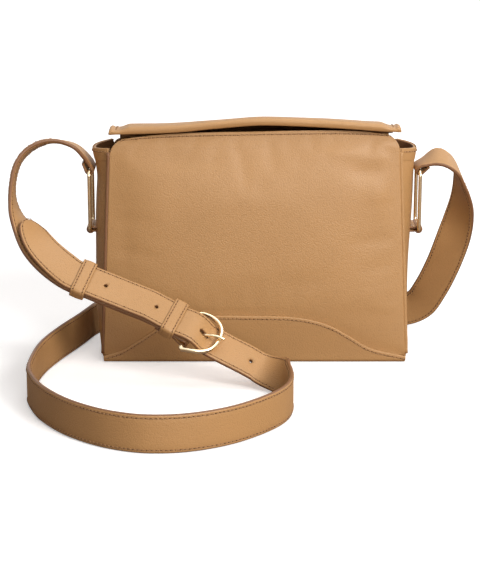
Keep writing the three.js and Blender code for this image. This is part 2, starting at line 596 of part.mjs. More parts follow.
piece("long_strap", longStrap(), leather);
piece("buckle_strap", buckleStrap(), leather);
piece("buckle_frame", buckleFrame(), gold);
piece("buckle_prong", buckleProng(), gold);
piece("fixed_keeper", keeper(buckle, -14.8, -1.4 - STRAP_SKIVED / 2 - GAP), darker);
piece("sliding_keeper", keeper(upper, 0, -STRAP_THICK / 2 - GAP), darker);

export default bag;
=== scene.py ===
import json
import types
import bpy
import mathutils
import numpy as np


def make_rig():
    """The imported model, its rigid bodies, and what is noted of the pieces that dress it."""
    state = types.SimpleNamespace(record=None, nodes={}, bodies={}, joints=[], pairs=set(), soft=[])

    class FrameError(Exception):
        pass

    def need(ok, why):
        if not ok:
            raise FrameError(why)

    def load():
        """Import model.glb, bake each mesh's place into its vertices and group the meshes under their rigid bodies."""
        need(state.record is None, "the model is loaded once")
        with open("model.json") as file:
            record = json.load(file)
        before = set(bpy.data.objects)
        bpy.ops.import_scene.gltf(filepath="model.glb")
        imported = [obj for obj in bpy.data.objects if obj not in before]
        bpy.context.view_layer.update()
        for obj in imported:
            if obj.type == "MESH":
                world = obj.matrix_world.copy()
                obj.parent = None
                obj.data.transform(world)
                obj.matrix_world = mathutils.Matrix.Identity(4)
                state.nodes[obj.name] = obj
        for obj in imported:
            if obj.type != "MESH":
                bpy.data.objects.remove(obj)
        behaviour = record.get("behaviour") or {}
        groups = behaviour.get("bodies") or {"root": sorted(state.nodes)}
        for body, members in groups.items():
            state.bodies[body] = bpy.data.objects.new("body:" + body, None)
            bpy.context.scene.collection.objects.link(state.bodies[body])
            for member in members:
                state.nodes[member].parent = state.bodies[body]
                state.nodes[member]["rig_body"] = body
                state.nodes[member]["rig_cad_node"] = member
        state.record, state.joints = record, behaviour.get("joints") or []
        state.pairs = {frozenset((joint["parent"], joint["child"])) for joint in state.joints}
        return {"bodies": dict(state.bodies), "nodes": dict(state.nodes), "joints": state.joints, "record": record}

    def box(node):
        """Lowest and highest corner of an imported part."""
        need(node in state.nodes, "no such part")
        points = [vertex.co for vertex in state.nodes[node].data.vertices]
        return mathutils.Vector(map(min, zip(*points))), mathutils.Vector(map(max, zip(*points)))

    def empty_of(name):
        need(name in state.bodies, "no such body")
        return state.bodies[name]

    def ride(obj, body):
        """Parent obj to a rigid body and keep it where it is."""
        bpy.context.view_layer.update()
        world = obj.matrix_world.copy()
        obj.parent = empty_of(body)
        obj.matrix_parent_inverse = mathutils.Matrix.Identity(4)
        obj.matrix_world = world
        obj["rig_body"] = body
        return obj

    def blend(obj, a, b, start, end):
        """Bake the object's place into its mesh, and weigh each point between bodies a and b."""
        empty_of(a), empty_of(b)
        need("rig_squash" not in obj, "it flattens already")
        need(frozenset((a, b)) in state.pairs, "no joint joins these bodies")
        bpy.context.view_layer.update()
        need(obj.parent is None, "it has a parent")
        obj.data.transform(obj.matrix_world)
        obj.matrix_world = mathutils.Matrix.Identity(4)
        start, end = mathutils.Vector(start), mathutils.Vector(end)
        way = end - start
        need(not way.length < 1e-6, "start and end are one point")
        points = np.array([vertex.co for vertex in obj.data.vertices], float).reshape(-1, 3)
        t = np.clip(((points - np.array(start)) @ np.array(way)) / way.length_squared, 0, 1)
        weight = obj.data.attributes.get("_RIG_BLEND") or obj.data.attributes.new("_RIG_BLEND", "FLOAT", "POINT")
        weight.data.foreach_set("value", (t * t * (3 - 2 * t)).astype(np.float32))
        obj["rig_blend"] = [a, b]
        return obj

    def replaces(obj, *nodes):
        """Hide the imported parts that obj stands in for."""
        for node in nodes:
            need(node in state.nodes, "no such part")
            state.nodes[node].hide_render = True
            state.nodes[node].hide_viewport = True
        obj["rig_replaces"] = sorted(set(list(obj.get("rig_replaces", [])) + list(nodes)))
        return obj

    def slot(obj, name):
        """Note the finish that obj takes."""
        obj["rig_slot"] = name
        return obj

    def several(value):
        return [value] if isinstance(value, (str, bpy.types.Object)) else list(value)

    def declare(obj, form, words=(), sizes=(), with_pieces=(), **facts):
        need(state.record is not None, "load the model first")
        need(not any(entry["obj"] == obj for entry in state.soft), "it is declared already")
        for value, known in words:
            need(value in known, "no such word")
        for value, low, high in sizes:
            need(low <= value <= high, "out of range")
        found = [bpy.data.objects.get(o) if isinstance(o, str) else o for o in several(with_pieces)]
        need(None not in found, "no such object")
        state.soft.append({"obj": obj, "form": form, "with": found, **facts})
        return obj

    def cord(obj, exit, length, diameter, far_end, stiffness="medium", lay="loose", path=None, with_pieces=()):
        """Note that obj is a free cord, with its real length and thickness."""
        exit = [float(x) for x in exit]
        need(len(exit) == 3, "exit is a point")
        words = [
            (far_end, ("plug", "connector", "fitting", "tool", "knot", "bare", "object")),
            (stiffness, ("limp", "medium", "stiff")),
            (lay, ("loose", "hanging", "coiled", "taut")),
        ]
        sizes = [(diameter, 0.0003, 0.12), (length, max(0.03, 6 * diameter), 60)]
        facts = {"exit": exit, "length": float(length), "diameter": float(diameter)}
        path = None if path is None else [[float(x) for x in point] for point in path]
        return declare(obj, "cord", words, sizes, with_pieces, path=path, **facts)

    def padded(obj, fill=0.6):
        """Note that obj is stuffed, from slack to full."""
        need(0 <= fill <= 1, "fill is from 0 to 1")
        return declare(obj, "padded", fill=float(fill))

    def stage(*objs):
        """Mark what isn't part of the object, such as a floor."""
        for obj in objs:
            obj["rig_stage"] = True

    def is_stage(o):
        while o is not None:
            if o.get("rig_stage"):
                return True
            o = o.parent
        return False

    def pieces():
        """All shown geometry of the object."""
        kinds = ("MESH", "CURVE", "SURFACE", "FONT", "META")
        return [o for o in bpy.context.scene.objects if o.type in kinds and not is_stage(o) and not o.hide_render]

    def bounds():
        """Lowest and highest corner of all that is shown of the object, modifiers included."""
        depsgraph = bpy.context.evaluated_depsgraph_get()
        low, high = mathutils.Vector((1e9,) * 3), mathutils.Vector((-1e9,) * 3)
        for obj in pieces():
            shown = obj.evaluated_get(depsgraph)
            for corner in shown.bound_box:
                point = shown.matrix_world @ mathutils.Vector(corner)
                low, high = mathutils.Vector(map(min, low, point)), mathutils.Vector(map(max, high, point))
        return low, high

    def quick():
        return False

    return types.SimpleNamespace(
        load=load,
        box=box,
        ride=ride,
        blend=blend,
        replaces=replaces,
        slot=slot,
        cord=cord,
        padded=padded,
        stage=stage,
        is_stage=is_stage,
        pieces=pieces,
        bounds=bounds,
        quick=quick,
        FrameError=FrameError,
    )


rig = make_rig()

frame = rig.load()

import json
import math

import bpy
import numpy as np
from mathutils import Vector

bl_info = {
    "name": "Sling bag looks",
    "version": (1, 0, 0),
    "blender": (4, 5, 0),
    "location": "3D View > Sidebar > Sling bag",
    "description": "Builds the leather, linings, straps, stitches and metal of a sling bag on its frame",
    "category": "Object",
}

MM = 0.001
CAD_LOW, CAD_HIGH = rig.bounds()


def box_mm(node):
    low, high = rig.box(node)
    return np.array(low) / MM, np.array(high) / MM


# ---- sizes that come from the frame, in millimetres ----
BASE_WIDTH = box_mm("base_wrap")[1][0] * 2 + 0.1
RIM = box_mm("left_gusset")[1][2]
FRONT_TOP = box_mm("front_panel")[1][2] - 0.7
BACK_TOP = box_mm("back_panel")[1][2]
FLAP_HALF = box_mm("flap_cover")[1][0]
FLAP_BACK = box_mm("flap_cover")[1][1]
RING_LOW, RING_HIGH = box_mm("right_ring")
WIRE = (RING_HIGH[0] - RING_LOW[0]) / 2
RING_X = (RING_HIGH[0] + RING_LOW[0]) / 2
BAR_LOW = RING_LOW[2] + WIRE
BAR_HIGH = RING_HIGH[2] - WIRE
JOINTS = {j["name"]: j for j in frame["record"]["behaviour"]["joints"]}
UPPER_AT = np.array(JOINTS["keeper_slide"]["pos_m"]) / MM
UPPER_ALONG = np.array(JOINTS["keeper_slide"]["axis"])
ALONG = np.array([0.885, -0.123, -0.449])
ALONG /= np.linalg.norm(ALONG)
ACROSS = -np.array(JOINTS["prong_lift"]["axis"])
OUT = np.cross(ALONG, ACROSS)
UPPER_ACROSS = np.array([0.34, 0.76, 0.55]) - UPPER_ALONG * (np.array([0.34, 0.76, 0.55]) @ UPPER_ALONG)
UPPER_ACROSS /= np.linalg.norm(UPPER_ACROSS)
UPPER_OUT = np.cross(UPPER_ALONG, UPPER_ACROSS)
BAR_N = -2.5
BUCKLE_AT = np.array(JOINTS["prong_lift"]["pos_m"]) / MM - OUT * BAR_N

# ---- the bag's own shape ----
TOP_WIDTH = 226
BASE_DEPTH = 74
TOP_DEPTH = 48
LEATHER = 2.0
THIN = 1.3
GAP = 0.3
LAP = LEATHER + GAP
STRAP = 28.0
THICK = 3.2
SKIVED = 1.8
OVER = THICK + GAP
YOKE = [(-122, 4.4), (-107, 8.8), (-91, 18.7), (-67, 34.4), (-43, 38.6), (-1, 39), (36, 37.4), (59, 31.1),
        (75, 22), (91, 12.1), (122, 4.4)]
SAG = [(-116, -7.6), (-100, -7), (-62, -5.6), (-33, -2.8), (0, -0.1), (13, 0), (40, -0.9), (70, -2.6),
       (98, -4.6), (116, -5.6)]


def settings():
    return bpy.context.scene.sling_bag


def smooth(a, b, x):
    t = np.clip((np.asarray(x, float) - a) / (b - a), 0, 1)
    return t * t * (3 - 2 * t)


def spline(points, i, f, even=False):
    """A point of a Catmull-Rom curve, a fraction of the way past its point i."""
    n = len(points)
    p1, p2 = points[i], points[i + 1]
    p0 = points[i - 1] if i else 2 * p1 - p2
    p3 = points[i + 2] if i + 2 < n else 2 * p2 - p1
    if even:
        t1, t2 = (p2 - p0) / 2, (p3 - p1) / 2
    else:
        d0, d1, d2 = (max(np.linalg.norm(b - a) ** 0.5, 1e-4) for a, b in ((p0, p1), (p1, p2), (p2, p3)))
        t1 = ((p1 - p0) / d0 - (p2 - p0) / (d0 + d1) + (p2 - p1) / d1) * d1
        t2 = ((p2 - p1) / d1 - (p3 - p1) / (d1 + d2) + (p3 - p2) / d2) * d1
    return (
        p1 + t1 * f + (-3 * p1 + 3 * p2 - 2 * t1 - t2) * f * f + (2 * p1 - 2 * p2 + t1 + t2) * f**3
    )


def graded(pairs):
    points = [np.array(p, float) for p in pairs]
    line = np.array([spline(points, i, f) for i in range(len(points) - 1) for f in np.linspace(0, 1, 13)])
    return lambda x: np.interp(x, line[:, 0], line[:, 1])


yoke_edge = graded(YOKE)
flap_sag = graded(SAG)


def half_width(z):
    return (BASE_WIDTH - (BASE_WIDTH - TOP_WIDTH) * z / RIM) / 2


def half_depth(z):
    return (BASE_DEPTH - (BASE_DEPTH - TOP_DEPTH) * (np.maximum(z, 0) / RIM) ** 1.3) / 2


def puff(u, z):
    side = 1 - np.minimum(1, np.abs(u)) ** 3
    return settings().puff / MM * side * smooth(-4, 48, z) * (1 - 0.75 * smooth(130, 184, z))


def front_top(x):
    return FRONT_TOP + 0.017 * x - 2.2 * (x / 100) ** 4


def on_face(way, u, z, depth, half=None):
    half = half_width(z) if half is None else half
    curl = 4 * smooth(FRONT_TOP - 12, FRONT_TOP + 2, z) if way < 0 else 0
    return np.stack(np.broadcast_arrays(u * half, way * (half_depth(z) + puff(u, z) - depth - curl), z), -1)


# ---- meshes ----
def mesh_object(name, points, faces, materials=(), which=None):
    """An object at the origin from points in millimetres, faces turned outward."""
    points = np.asarray(points, float).reshape(-1, 3) * MM
    volume = sum(
        points[f[0]] @ np.cross(points[f[k]], points[f[k + 1]]) for f in faces for k in range(1, len(f) - 1)
    )
    if volume < 0:
        faces = [tuple(reversed(f)) for f in faces]
    mesh = bpy.data.meshes.new(name)
    mesh.from_pydata([tuple(p) for p in points], [], [tuple(int(i) for i in f) for f in faces])
    for m in materials:
        mesh.materials.append(m)
    if which is not None:
        mesh.polygons.foreach_set("material_index", which)
    mesh.polygons.foreach_set("use_smooth", [True] * len(mesh.polygons))
    mesh.update()
    o = bpy.data.objects.new(name, mesh)
    bpy.context.scene.collection.objects.link(o)
    return o


def slab_faces(nv, nu):
    faces = []
    count = nv * nu
    for j in range(nv - 1):
        for i in range(nu - 1):
            a = j * nu + i
            faces.append((a, a + 1, a + nu + 1, a + nu))
            faces.append((count + a, count + a + nu, count + a + nu + 1, count + a + 1))
    rim = [(0, i) for i in range(nu - 1)] + [(j, nu - 1) for j in range(nv - 1)]
    rim += [(nv - 1, i) for i in range(nu - 1, 0, -1)] + [(j, 0) for j in range(nv - 1, 0, -1)]
    index = [j * nu + i for j, i in rim]
    for a, b in zip(index, index[1:] + index[:1]):
        faces.append((b, a, count + a, count + b))
    return faces


def normals(p):
    n = np.cross(np.gradient(p, axis=1), np.gradient(p, axis=0))
    return n / np.maximum(np.linalg.norm(n, axis=-1, keepdims=True), 1e-9)


def rim_distance(p):
    """How far each grid point is from the sheet's edge, along the sheet."""
    def run(axis):
        d = np.linalg.norm(np.diff(p, axis=axis), axis=-1)
        zero = np.zeros_like(np.take(d, [0], axis=axis))
        s = np.concatenate([zero, np.cumsum(d, axis=axis)], axis=axis)
        return np.minimum(s, np.take(s, [-1], axis=axis) - s)

    return np.minimum(run(0), run(1))


def turned_sheet(name, p, thick, side, materials, crown=0.0, roll=None):
    """A sheet of leather under the surface p, with rounded edges; side says which way is out."""
    n = normals(p) * side
    roll = thick * 0.5 if roll is None else roll
    d = rim_distance(p)[..., None]
    drop = thick * 0.49 * (1 - np.sqrt(np.clip(1 - (1 - np.clip(d / roll, 0, 1)) ** 2, 0, 1)))
    swell = crown * np.clip(d / 4, 0, 1) * np.exp(-d / 3)
    outer = p - n * (drop - swell)
    inner = p - n * (thick - drop)
    nv, nu = p.shape[:2]
    return mesh_object(name, np.concatenate([outer.reshape(-1, 3), inner.reshape(-1, 3)]),
                       slab_faces(nv, nu), materials)


def edged(count, long, low=0.0, high=1.0):
    """Grid lines from low to high with extra ones close to both ends, for a side of that length."""
    near = np.array([0, 0.12, 0.35, 0.7, 1.1, 2.0]) / long
    t = np.concatenate([near, np.linspace(0, 1, count)[1:-1], 1 - near])
    t = np.unique(np.round(t[(t >= 0) & (t <= 1)], 6))
    keep = [0]
    for k in range(1, len(t)):
        if t[k] - t[keep[-1]] > 0.1 / long:
            keep.append(k)
    keep[-1] = len(t) - 1
    return low + (high - low) * t[keep]


def loft(name, rings, materials=(), endless=False, which=None):
    rings = np.asarray(rings, float)
    m, n = rings.shape[:2]
    faces, kinds = [], []
    for k in range(m if endless else m - 1):
        a, b = k * n, (k + 1) % m * n
        for i in range(n):
            j = (i + 1) % n
            faces.append((a + i, a + j, b + j, b + i))
            kinds.append(which[i] if which is not None else 0)
    if not endless:
        faces += [tuple(range(n))[::-1], tuple(range((m - 1) * n, m * n))]
        kinds += [max(kinds)] * 2
    return mesh_object(name, rings.reshape(-1, 3), faces, materials, kinds if which is not None else None)


def rod_rings(points, wide, tall, up, endless, sides=18, power=1.0):
    points = np.asarray(points, float)
    if endless:
        t = np.roll(points, -1, 0) - np.roll(points, 1, 0)
    else:
        t = np.gradient(points, axis=0)
    t /= np.linalg.norm(t, axis=1, keepdims=True)
    up = np.asarray(up, float)
    b = up - t * (t @ up)[:, None]
    b /= np.linalg.norm(b, axis=1, keepdims=True)
    a = np.cross(b, t)
    g = np.linspace(0, 2 * math.pi, sides, endpoint=False)
    c = np.sign(np.cos(g)) * np.abs(np.cos(g)) ** power
    s = np.sign(np.sin(g)) * np.abs(np.sin(g)) ** power
    return points[:, None] + a[:, None] * (wide * c)[None, :, None] + b[:, None] * (tall * s)[None, :, None]


def applied(o, name):
    """The object's evaluated shape as a plain mesh, with its modifiers gone."""
    evaluated = o.evaluated_get(bpy.context.evaluated_depsgraph_get())
    mesh = bpy.data.meshes.new_from_object(evaluated)
    o.modifiers.clear()
    old = o.data
    if o.type != "MESH":
        new = bpy.data.objects.new(name, mesh)
        bpy.context.scene.collection.objects.link(new)
        bpy.data.objects.remove(o)
        return new
    o.data = mesh
    bpy.data.meshes.remove(old)
    return o


# ---- materials ----
class Nodes:
    """Adds nodes to a tree; an input is a value or another node's output."""

    def __init__(self, tree):
        self.tree = tree

    def __call__(self, kind, out=0, settings=(), **inputs):
        node = self.tree.nodes.new(kind)
        for key, value in dict(settings).items():
            setattr(node, key, value)
        for key, value in inputs.items():
            key = int(key[1:]) if key[0] == "i" and key[1:].isdigit() else key.replace("_", " ")
            if isinstance(value, bpy.types.NodeSocket):
                self.tree.links.new(value, node.inputs[key])
            else:
                node.inputs[key].default_value = value
        return node.outputs[out]


def shader_group(name, inputs, outputs):
    group = bpy.data.node_groups.new(name, "ShaderNodeTree")
    for label, kind, value in inputs:
        socket = group.interface.new_socket(label, in_out="INPUT", socket_type=kind)
        if value is not None:
            socket.default_value = value
    for label, kind in outputs:
        group.interface.new_socket(label, in_out="OUTPUT", socket_type=kind)
    source = group.nodes.new("NodeGroupInput")
    sink = group.nodes.new("NodeGroupOutput")
    return group, Nodes(group), source.outputs, sink.inputs


def build_grain_group():
    group, n, i, o = shader_group(
        "Pebbled grain",
        [("Vector", "NodeSocketVector", None), ("Cells per metre", "NodeSocketFloat", 800.0)],
        [("Height", "NodeSocketFloat"), ("Pores", "NodeSocketFloat")],
    )
    warp = n("ShaderNodeTexNoise", 1, Vector=i["Vector"], Scale=260.0, Detail=2.0)
    shift = n("ShaderNodeVectorMath", settings={"operation": "SCALE"}, i0=warp, Scale=0.0011)
    place = n("ShaderNodeVectorMath", settings={"operation": "ADD"}, i0=i["Vector"], i1=shift)
    cells = n("ShaderNodeTexVoronoi", settings={"feature": "SMOOTH_F1"}, Vector=place,
              Scale=i["Cells per metre"],
              Smoothness=0.35)
    low = n("ShaderNodeMapRange", Value=cells, i1=0.1, i2=0.85, i3=1.0, i4=0.0)
    fine = n("ShaderNodeTexNoise", Vector=i["Vector"], Scale=2600.0, Detail=3.0)
    soft = n("ShaderNodeMath", settings={"operation": "MULTIPLY_ADD"}, i0=fine, i1=0.25, i2=low)
    group.links.new(soft, o["Height"])
    pores = n("ShaderNodeMapRange", Value=cells, i1=0.55, i2=0.95, i3=0.0, i4=1.0)
    group.links.new(pores, o["Pores"])
    return group


def build_tone_group():
    group, n, i, o = shader_group(
        "Leather tone",
        [("Vector", "NodeSocketVector", None), ("Base", "NodeSocketColor", (0.5, 0.3, 0.15, 1)),
         ("Deep", "NodeSocketColor", (0.35, 0.2, 0.1, 1)), ("Pores", "NodeSocketFloat", 0.0),
         ("Amount", "NodeSocketFloat", 0.25)],
        [("Colour", "NodeSocketColor"), ("Roughness", "NodeSocketFloat")],
    )
    broad = n("ShaderNodeTexNoise", Vector=i["Vector"], Scale=17.0, Detail=4.0, Roughness=0.6)
    fade = n("ShaderNodeMapRange", Value=broad, i1=0.35, i2=0.72, i3=0.0, i4=1.0)
    part = n("ShaderNodeMath", settings={"operation": "MULTIPLY"}, i0=fade, i1=i["Amount"])
    # How far the colour goes towards Deep: more in the crevices between pebbles and in broad random patches.
    toward_deep = n("ShaderNodeMath", settings={"operation": "MULTIPLY_ADD", "use_clamp": True}, i0=i["Pores"],
              i1=0.3, i2=part)
    mix = n("ShaderNodeMix", 2, settings={"data_type": "RGBA"}, i0=toward_deep, i6=i["Base"], i7=i["Deep"])
    group.links.new(mix, o["Colour"])
    rough = n("ShaderNodeMapRange", Value=broad, i1=0.3, i2=0.7, i3=0.4, i4=0.52)
    group.links.new(rough, o["Roughness"])
    return group


def build_dust_group():
    group, n, i, o = shader_group(
        "Dust", [("Vector", "NodeSocketVector", None),
                 ("Amount", "NodeSocketFloat", 0.2)], [("Mask", "NodeSocketFloat")]
    )
    up = n("ShaderNodeSeparateXYZ", 2, i0=n("ShaderNodeNewGeometry", 1))
    facing = n("ShaderNodeMapRange", Value=up, i1=0.5, i2=1.0, i3=0.0, i4=1.0)
    specks = n("ShaderNodeTexNoise", Vector=i["Vector"], Scale=420.0, Detail=5.0)
    patch = n("ShaderNodeMapRange", Value=specks, i1=0.45, i2=0.75, i3=0.0, i4=1.0)
    both = n("ShaderNodeMath", settings={"operation": "MULTIPLY"}, i0=facing, i1=patch)
    out = n("ShaderNodeMath", settings={"operation": "MULTIPLY"}, i0=both, i1=i["Amount"])
    group.links.new(out, o["Mask"])
    return group


def build_weave_group():
    group, n, i, o = shader_group(
        "Plain weave",
        [("Vector", "NodeSocketVector", None), ("Threads per metre", "NodeSocketFloat", 1900.0)],
        [("Height", "NodeSocketFloat"), ("Tone", "NodeSocketFloat")],
    )
    scaled = n("ShaderNodeVectorMath", settings={"operation": "SCALE"}, i0=i["Vector"],
               Scale=i["Threads per metre"])
    parts = n.tree.nodes.new("ShaderNodeSeparateXYZ")
    n.tree.links.new(scaled, parts.inputs[0])
    across = n("ShaderNodeMath", settings={"operation": "ADD"}, i0=parts.outputs[0], i1=parts.outputs[1])
    a = n("ShaderNodeMath", settings={"operation": "SINE"}, i0=across)
    b = n("ShaderNodeMath", settings={"operation": "SINE"}, i0=parts.outputs[2])
    cross = n("ShaderNodeMath", settings={"operation": "MULTIPLY"}, i0=a, i1=b)
    group.links.new(cross, o["Height"])
    slub = n("ShaderNodeTexNoise", Vector=i["Vector"], Scale=300.0, Detail=3.0)
    group.links.new(slub, o["Tone"])
    return group


def material(name, metallic=0.0, roughness=0.5):
    m = bpy.data.materials.new(name)
    m.use_nodes = True
    tree = m.node_tree
    shader = tree.nodes["Principled BSDF"]
    shader.inputs["Metallic"].default_value = metallic
    shader.inputs["Roughness"].default_value = roughness
    n = Nodes(tree)
    place = n("ShaderNodeTexCoord", 3)
    return m, n, shader.inputs, place


def use_group(n, group, **inputs):
    node = n.tree.nodes.new("ShaderNodeGroup")
    node.node_tree = group
    for key, value in inputs.items():
        socket = node.inputs[key.replace("_", " ")]
        if isinstance(value, bpy.types.NodeSocket):
            n.tree.links.new(value, socket)
        else:
            socket.default_value = value
    return node.outputs


def leather_material(name, groups, base, deep, grain, bump, coat=0.0, amount=0.25, dust=0.1):
    m, n, shader, place = material(name)
    pebble = use_group(n, groups["grain"], Vector=place, Cells_per_metre=grain)
    tone = use_group(n, groups["tone"], Vector=place, Base=base, Deep=deep, Pores=pebble["Pores"],
                     Amount=amount)
    settled = use_group(n, groups["dust"], Vector=place, Amount=dust)["Mask"]
    pale = tuple(min(1, c * 1.25 + 0.05) for c in base[:3]) + (1,)
    colour = n("ShaderNodeMix", 2, settings={"data_type": "RGBA"}, i0=settled, i6=tone["Colour"], i7=pale)
    n.tree.links.new(colour, shader["Base Color"])
    n.tree.links.new(tone["Roughness"], shader["Roughness"])
    normal = n("ShaderNodeBump", Strength=bump, Distance=0.0005, Height=pebble["Height"])
    n.tree.links.new(normal, shader["Normal"])
    shader["Coat Weight"].default_value = coat
    shader["Coat Roughness"].default_value = 0.35
    shader["Specular IOR Level"].default_value = 0.45
    return m


def metal_material(name, groups, colour, roughness):
    m, n, shader, place = material(name, 1.0, roughness)
    fine = n("ShaderNodeTexNoise", Vector=place, Scale=900.0, Detail=4.0)
    rough = n("ShaderNodeMapRange", Value=fine, i1=0.3, i2=0.7, i3=roughness * 0.75, i4=roughness * 1.35)
    n.tree.links.new(rough, shader["Roughness"])
    settled = use_group(n, groups["dust"], Vector=place, Amount=0.12)["Mask"]
    dull = tuple(c * 0.8 for c in colour[:3]) + (1,)
    mix = n("ShaderNodeMix", 2, settings={"data_type": "RGBA"}, i0=settled, i6=colour, i7=dull)
    n.tree.links.new(mix, shader["Base Color"])
    wire = n("ShaderNodeTexNoise", Vector=place, Scale=2200.0, Detail=2.0)
    normal = n("ShaderNodeBump", Strength=0.04, Distance=0.0002, Height=wire)
    n.tree.links.new(normal, shader["Normal"])
    return m


def cloth_material(name, groups, colour, threads=3800.0):
    m, n, shader, place = material(name, 0.0, 0.85)
    weave = use_group(n, groups["weave"], Vector=place, Threads_per_metre=threads)
    dark = tuple(c * 0.7 for c in colour[:3]) + (1,)
    mix = n("ShaderNodeMix", 2, settings={"data_type": "RGBA"}, i0=weave["Tone"], i6=dark, i7=colour)
    n.tree.links.new(mix, shader["Base Color"])
    normal = n("ShaderNodeBump", Strength=0.5, Distance=0.0002, Height=weave["Height"])
    n.tree.links.new(normal, shader["Normal"])
    shader["Sheen Weight"].default_value = 0.05
    return m


def plain_material(name, colour, roughness, scale, metallic=0.0, bump=0.2):
    m, n, shader, place = material(name, metallic, roughness)
    noise = n("ShaderNodeTexNoise", Vector=place, Scale=scale, Detail=4.0)
    dark = tuple(c * 0.75 for c in colour[:3]) + (1,)
    mix = n("ShaderNodeMix", 2, settings={"data_type": "RGBA"}, i0=noise, i6=dark, i7=colour)
    n.tree.links.new(mix, shader["Base Color"])
    normal = n("ShaderNodeBump", Strength=bump, Distance=0.0003, Height=noise)
    n.tree.links.new(normal, shader["Normal"])
    return m


LOOKS = {}


def build_materials():
    s = settings()
    groups = {"grain": build_grain_group(), "tone": build_tone_group(), "dust": build_dust_group(),
              "weave": build_weave_group()}
    hide, edge, thread = tuple(s.leather) + (1,), tuple(s.edge) + (1,), tuple(s.thread) + (1,)
    deep = tuple(c * 0.72 for c in hide[:3]) + (1,)
    LOOKS["leather"] = leather_material("Pebbled leather", groups, hide, deep, s.grain, 0.24)
    LOOKS["strap"] = leather_material("Strap leather", groups, hide, deep, s.grain * 1.1, 0.3)
    # Dark edge paint on cut edges; the same colour is also painted shade on the left welts and inside the gussets.
    LOOKS["edge"] = leather_material("Painted edge", groups, edge, tuple(c * 0.7 for c in edge[:3]) + (1,),
                                     s.grain * 2.5, 0.15)
    LOOKS["lining"] = cloth_material("Lining cloth", groups, (0.2, 0.1, 0.042, 1))
    LOOKS["thread"] = plain_material("Thread", thread, 0.7, 5000.0, bump=0.6)
    # Needle holes are dark blobs at each stitch end: painted shade where the thread goes into the leather.
    LOOKS["hole"] = plain_material("Needle hole", (0.1, 0.043, 0.018, 1), 0.9, 3000.0)
    LOOKS["gold"] = metal_material("Pale gold plate", groups, tuple(s.metal) + (1,), 0.16)
    LOOKS["foam"] = plain_material("Foam", (0.8, 0.74, 0.6, 1), 0.95, 1500.0)
    LOOKS["board"] = plain_material("Grey board", (0.3, 0.26, 0.2, 1), 0.9, 900.0)
    LOOKS["steel"] = plain_material("Plated steel", (0.55, 0.55, 0.56, 1), 0.3, 600.0, 1.0, 0.05)


# ---- stitches ----
def stitch_tree():
    tree = bpy.data.node_groups.new("Stitch row", "GeometryNodeTree")
    face = tree.interface
    face.new_socket("Geometry", in_out="OUTPUT", socket_type="NodeSocketGeometry")
    face.new_socket("Rows", in_out="INPUT", socket_type="NodeSocketGeometry")
    for label, value in (("Pitch", 0.003), ("Length", 0.0021), ("Thickness", 0.0006)):
        face.new_socket(label, in_out="INPUT", socket_type="NodeSocketFloat").default_value = value
    face.new_socket("Thread", in_out="INPUT", socket_type="NodeSocketMaterial")
    # The Hole material paints the shade in the needle holes.
    face.new_socket("Hole", in_out="INPUT", socket_type="NodeSocketMaterial")
    n = Nodes(tree)
    i = tree.nodes.new("NodeGroupInput").outputs
    sink = tree.nodes.new("NodeGroupOutput").inputs
    line = n("GeometryNodeResampleCurve", settings={"mode": "LENGTH"}, Curve=i["Rows"], Length=i["Pitch"])
    way = n("GeometryNodeInputTangent")
    lean = n("FunctionNodeRandomValue", 1, settings={"data_type": "FLOAT"}, i2=-0.16, i3=0.16, Seed=7)
    turn = n("FunctionNodeAlignRotationToVector", settings={"axis": "X"}, Vector=way)
    skew = n("FunctionNodeEulerToRotation", Euler=n("ShaderNodeCombineXYZ", Z=lean))
    both = n("FunctionNodeRotateRotation", settings={"rotation_space": "LOCAL"}, Rotation=turn,
             Rotate_By=skew)
    ball = n("GeometryNodeMeshUVSphere", Segments=6, Rings=4, Radius=0.5)
    size = n("ShaderNodeCombineXYZ", X=i["Length"], Y=i["Thickness"], Z=i["Thickness"])
    thread = n("GeometryNodeTransform", Geometry=ball, Scale=size)
    thread = n("GeometryNodeSetMaterial", Geometry=thread, Material=i["Thread"])
    half = n("ShaderNodeMath", settings={"operation": "MULTIPLY"}, i0=i["Pitch"], i1=0.5)
    wide = n("ShaderNodeMath", settings={"operation": "MULTIPLY"}, i0=i["Thickness"], i1=1.1)
    flat = n("ShaderNodeMath", settings={"operation": "MULTIPLY"}, i0=i["Thickness"], i1=0.75)
    # A flat dark blob half a pitch along each stitch: painted shade of the needle hole.
    hole = n("GeometryNodeTransform", Geometry=ball, Translation=n("ShaderNodeCombineXYZ", X=half),
             Scale=n("ShaderNodeCombineXYZ", X=wide, Y=wide, Z=flat))
    hole = n("GeometryNodeSetMaterial", Geometry=hole, Material=i["Hole"])
    join = tree.nodes.new("GeometryNodeJoinGeometry")
    tree.links.new(hole, join.inputs[0])
    tree.links.new(thread, join.inputs[0])
    many = n("GeometryNodeInstanceOnPoints", Points=line, Instance=join.outputs[0], Rotation=both)
    tree.links.new(n("GeometryNodeRealizeInstances", Geometry=many), sink[0])
    return tree


def stitches(name, rows, pitch=None, length=None, thick=None):
    """Rows of stitches along lines of points in millimetres."""
    s = settings()
    tree = bpy.data.node_groups.get("Stitch row") or stitch_tree()
    curve = bpy.data.curves.new(name, "CURVE")
    curve.dimensions = "3D"
    for row in rows:
        row = np.asarray(row, float)
        line = curve.splines.new("POLY")
        line.points.add(len(row) - 1)
        line.points.foreach_set("co", np.concatenate([row * MM, np.ones((len(row), 1))], 1).ravel())
    o = bpy.data.objects.new(name + "_rows", curve)
    bpy.context.scene.collection.objects.link(o)
    modifier = o.modifiers.new("Stitches", "NODES")
    modifier.node_group = tree
    values = {"Pitch": pitch or s.pitch, "Length": length or s.pitch * 0.72, "Thickness": thick or 0.001,
              "Thread": LOOKS["thread"], "Hole": LOOKS["hole"]}
    for item in tree.interface.items_tree:
        if item.in_out == "INPUT" and item.name in values:
            modifier[item.identifier] = values[item.name]
    bpy.context.view_layer.update()
    new = applied(o, name)
    new.data.polygons.foreach_set("use_smooth", [True] * len(new.data.polygons))
    return new


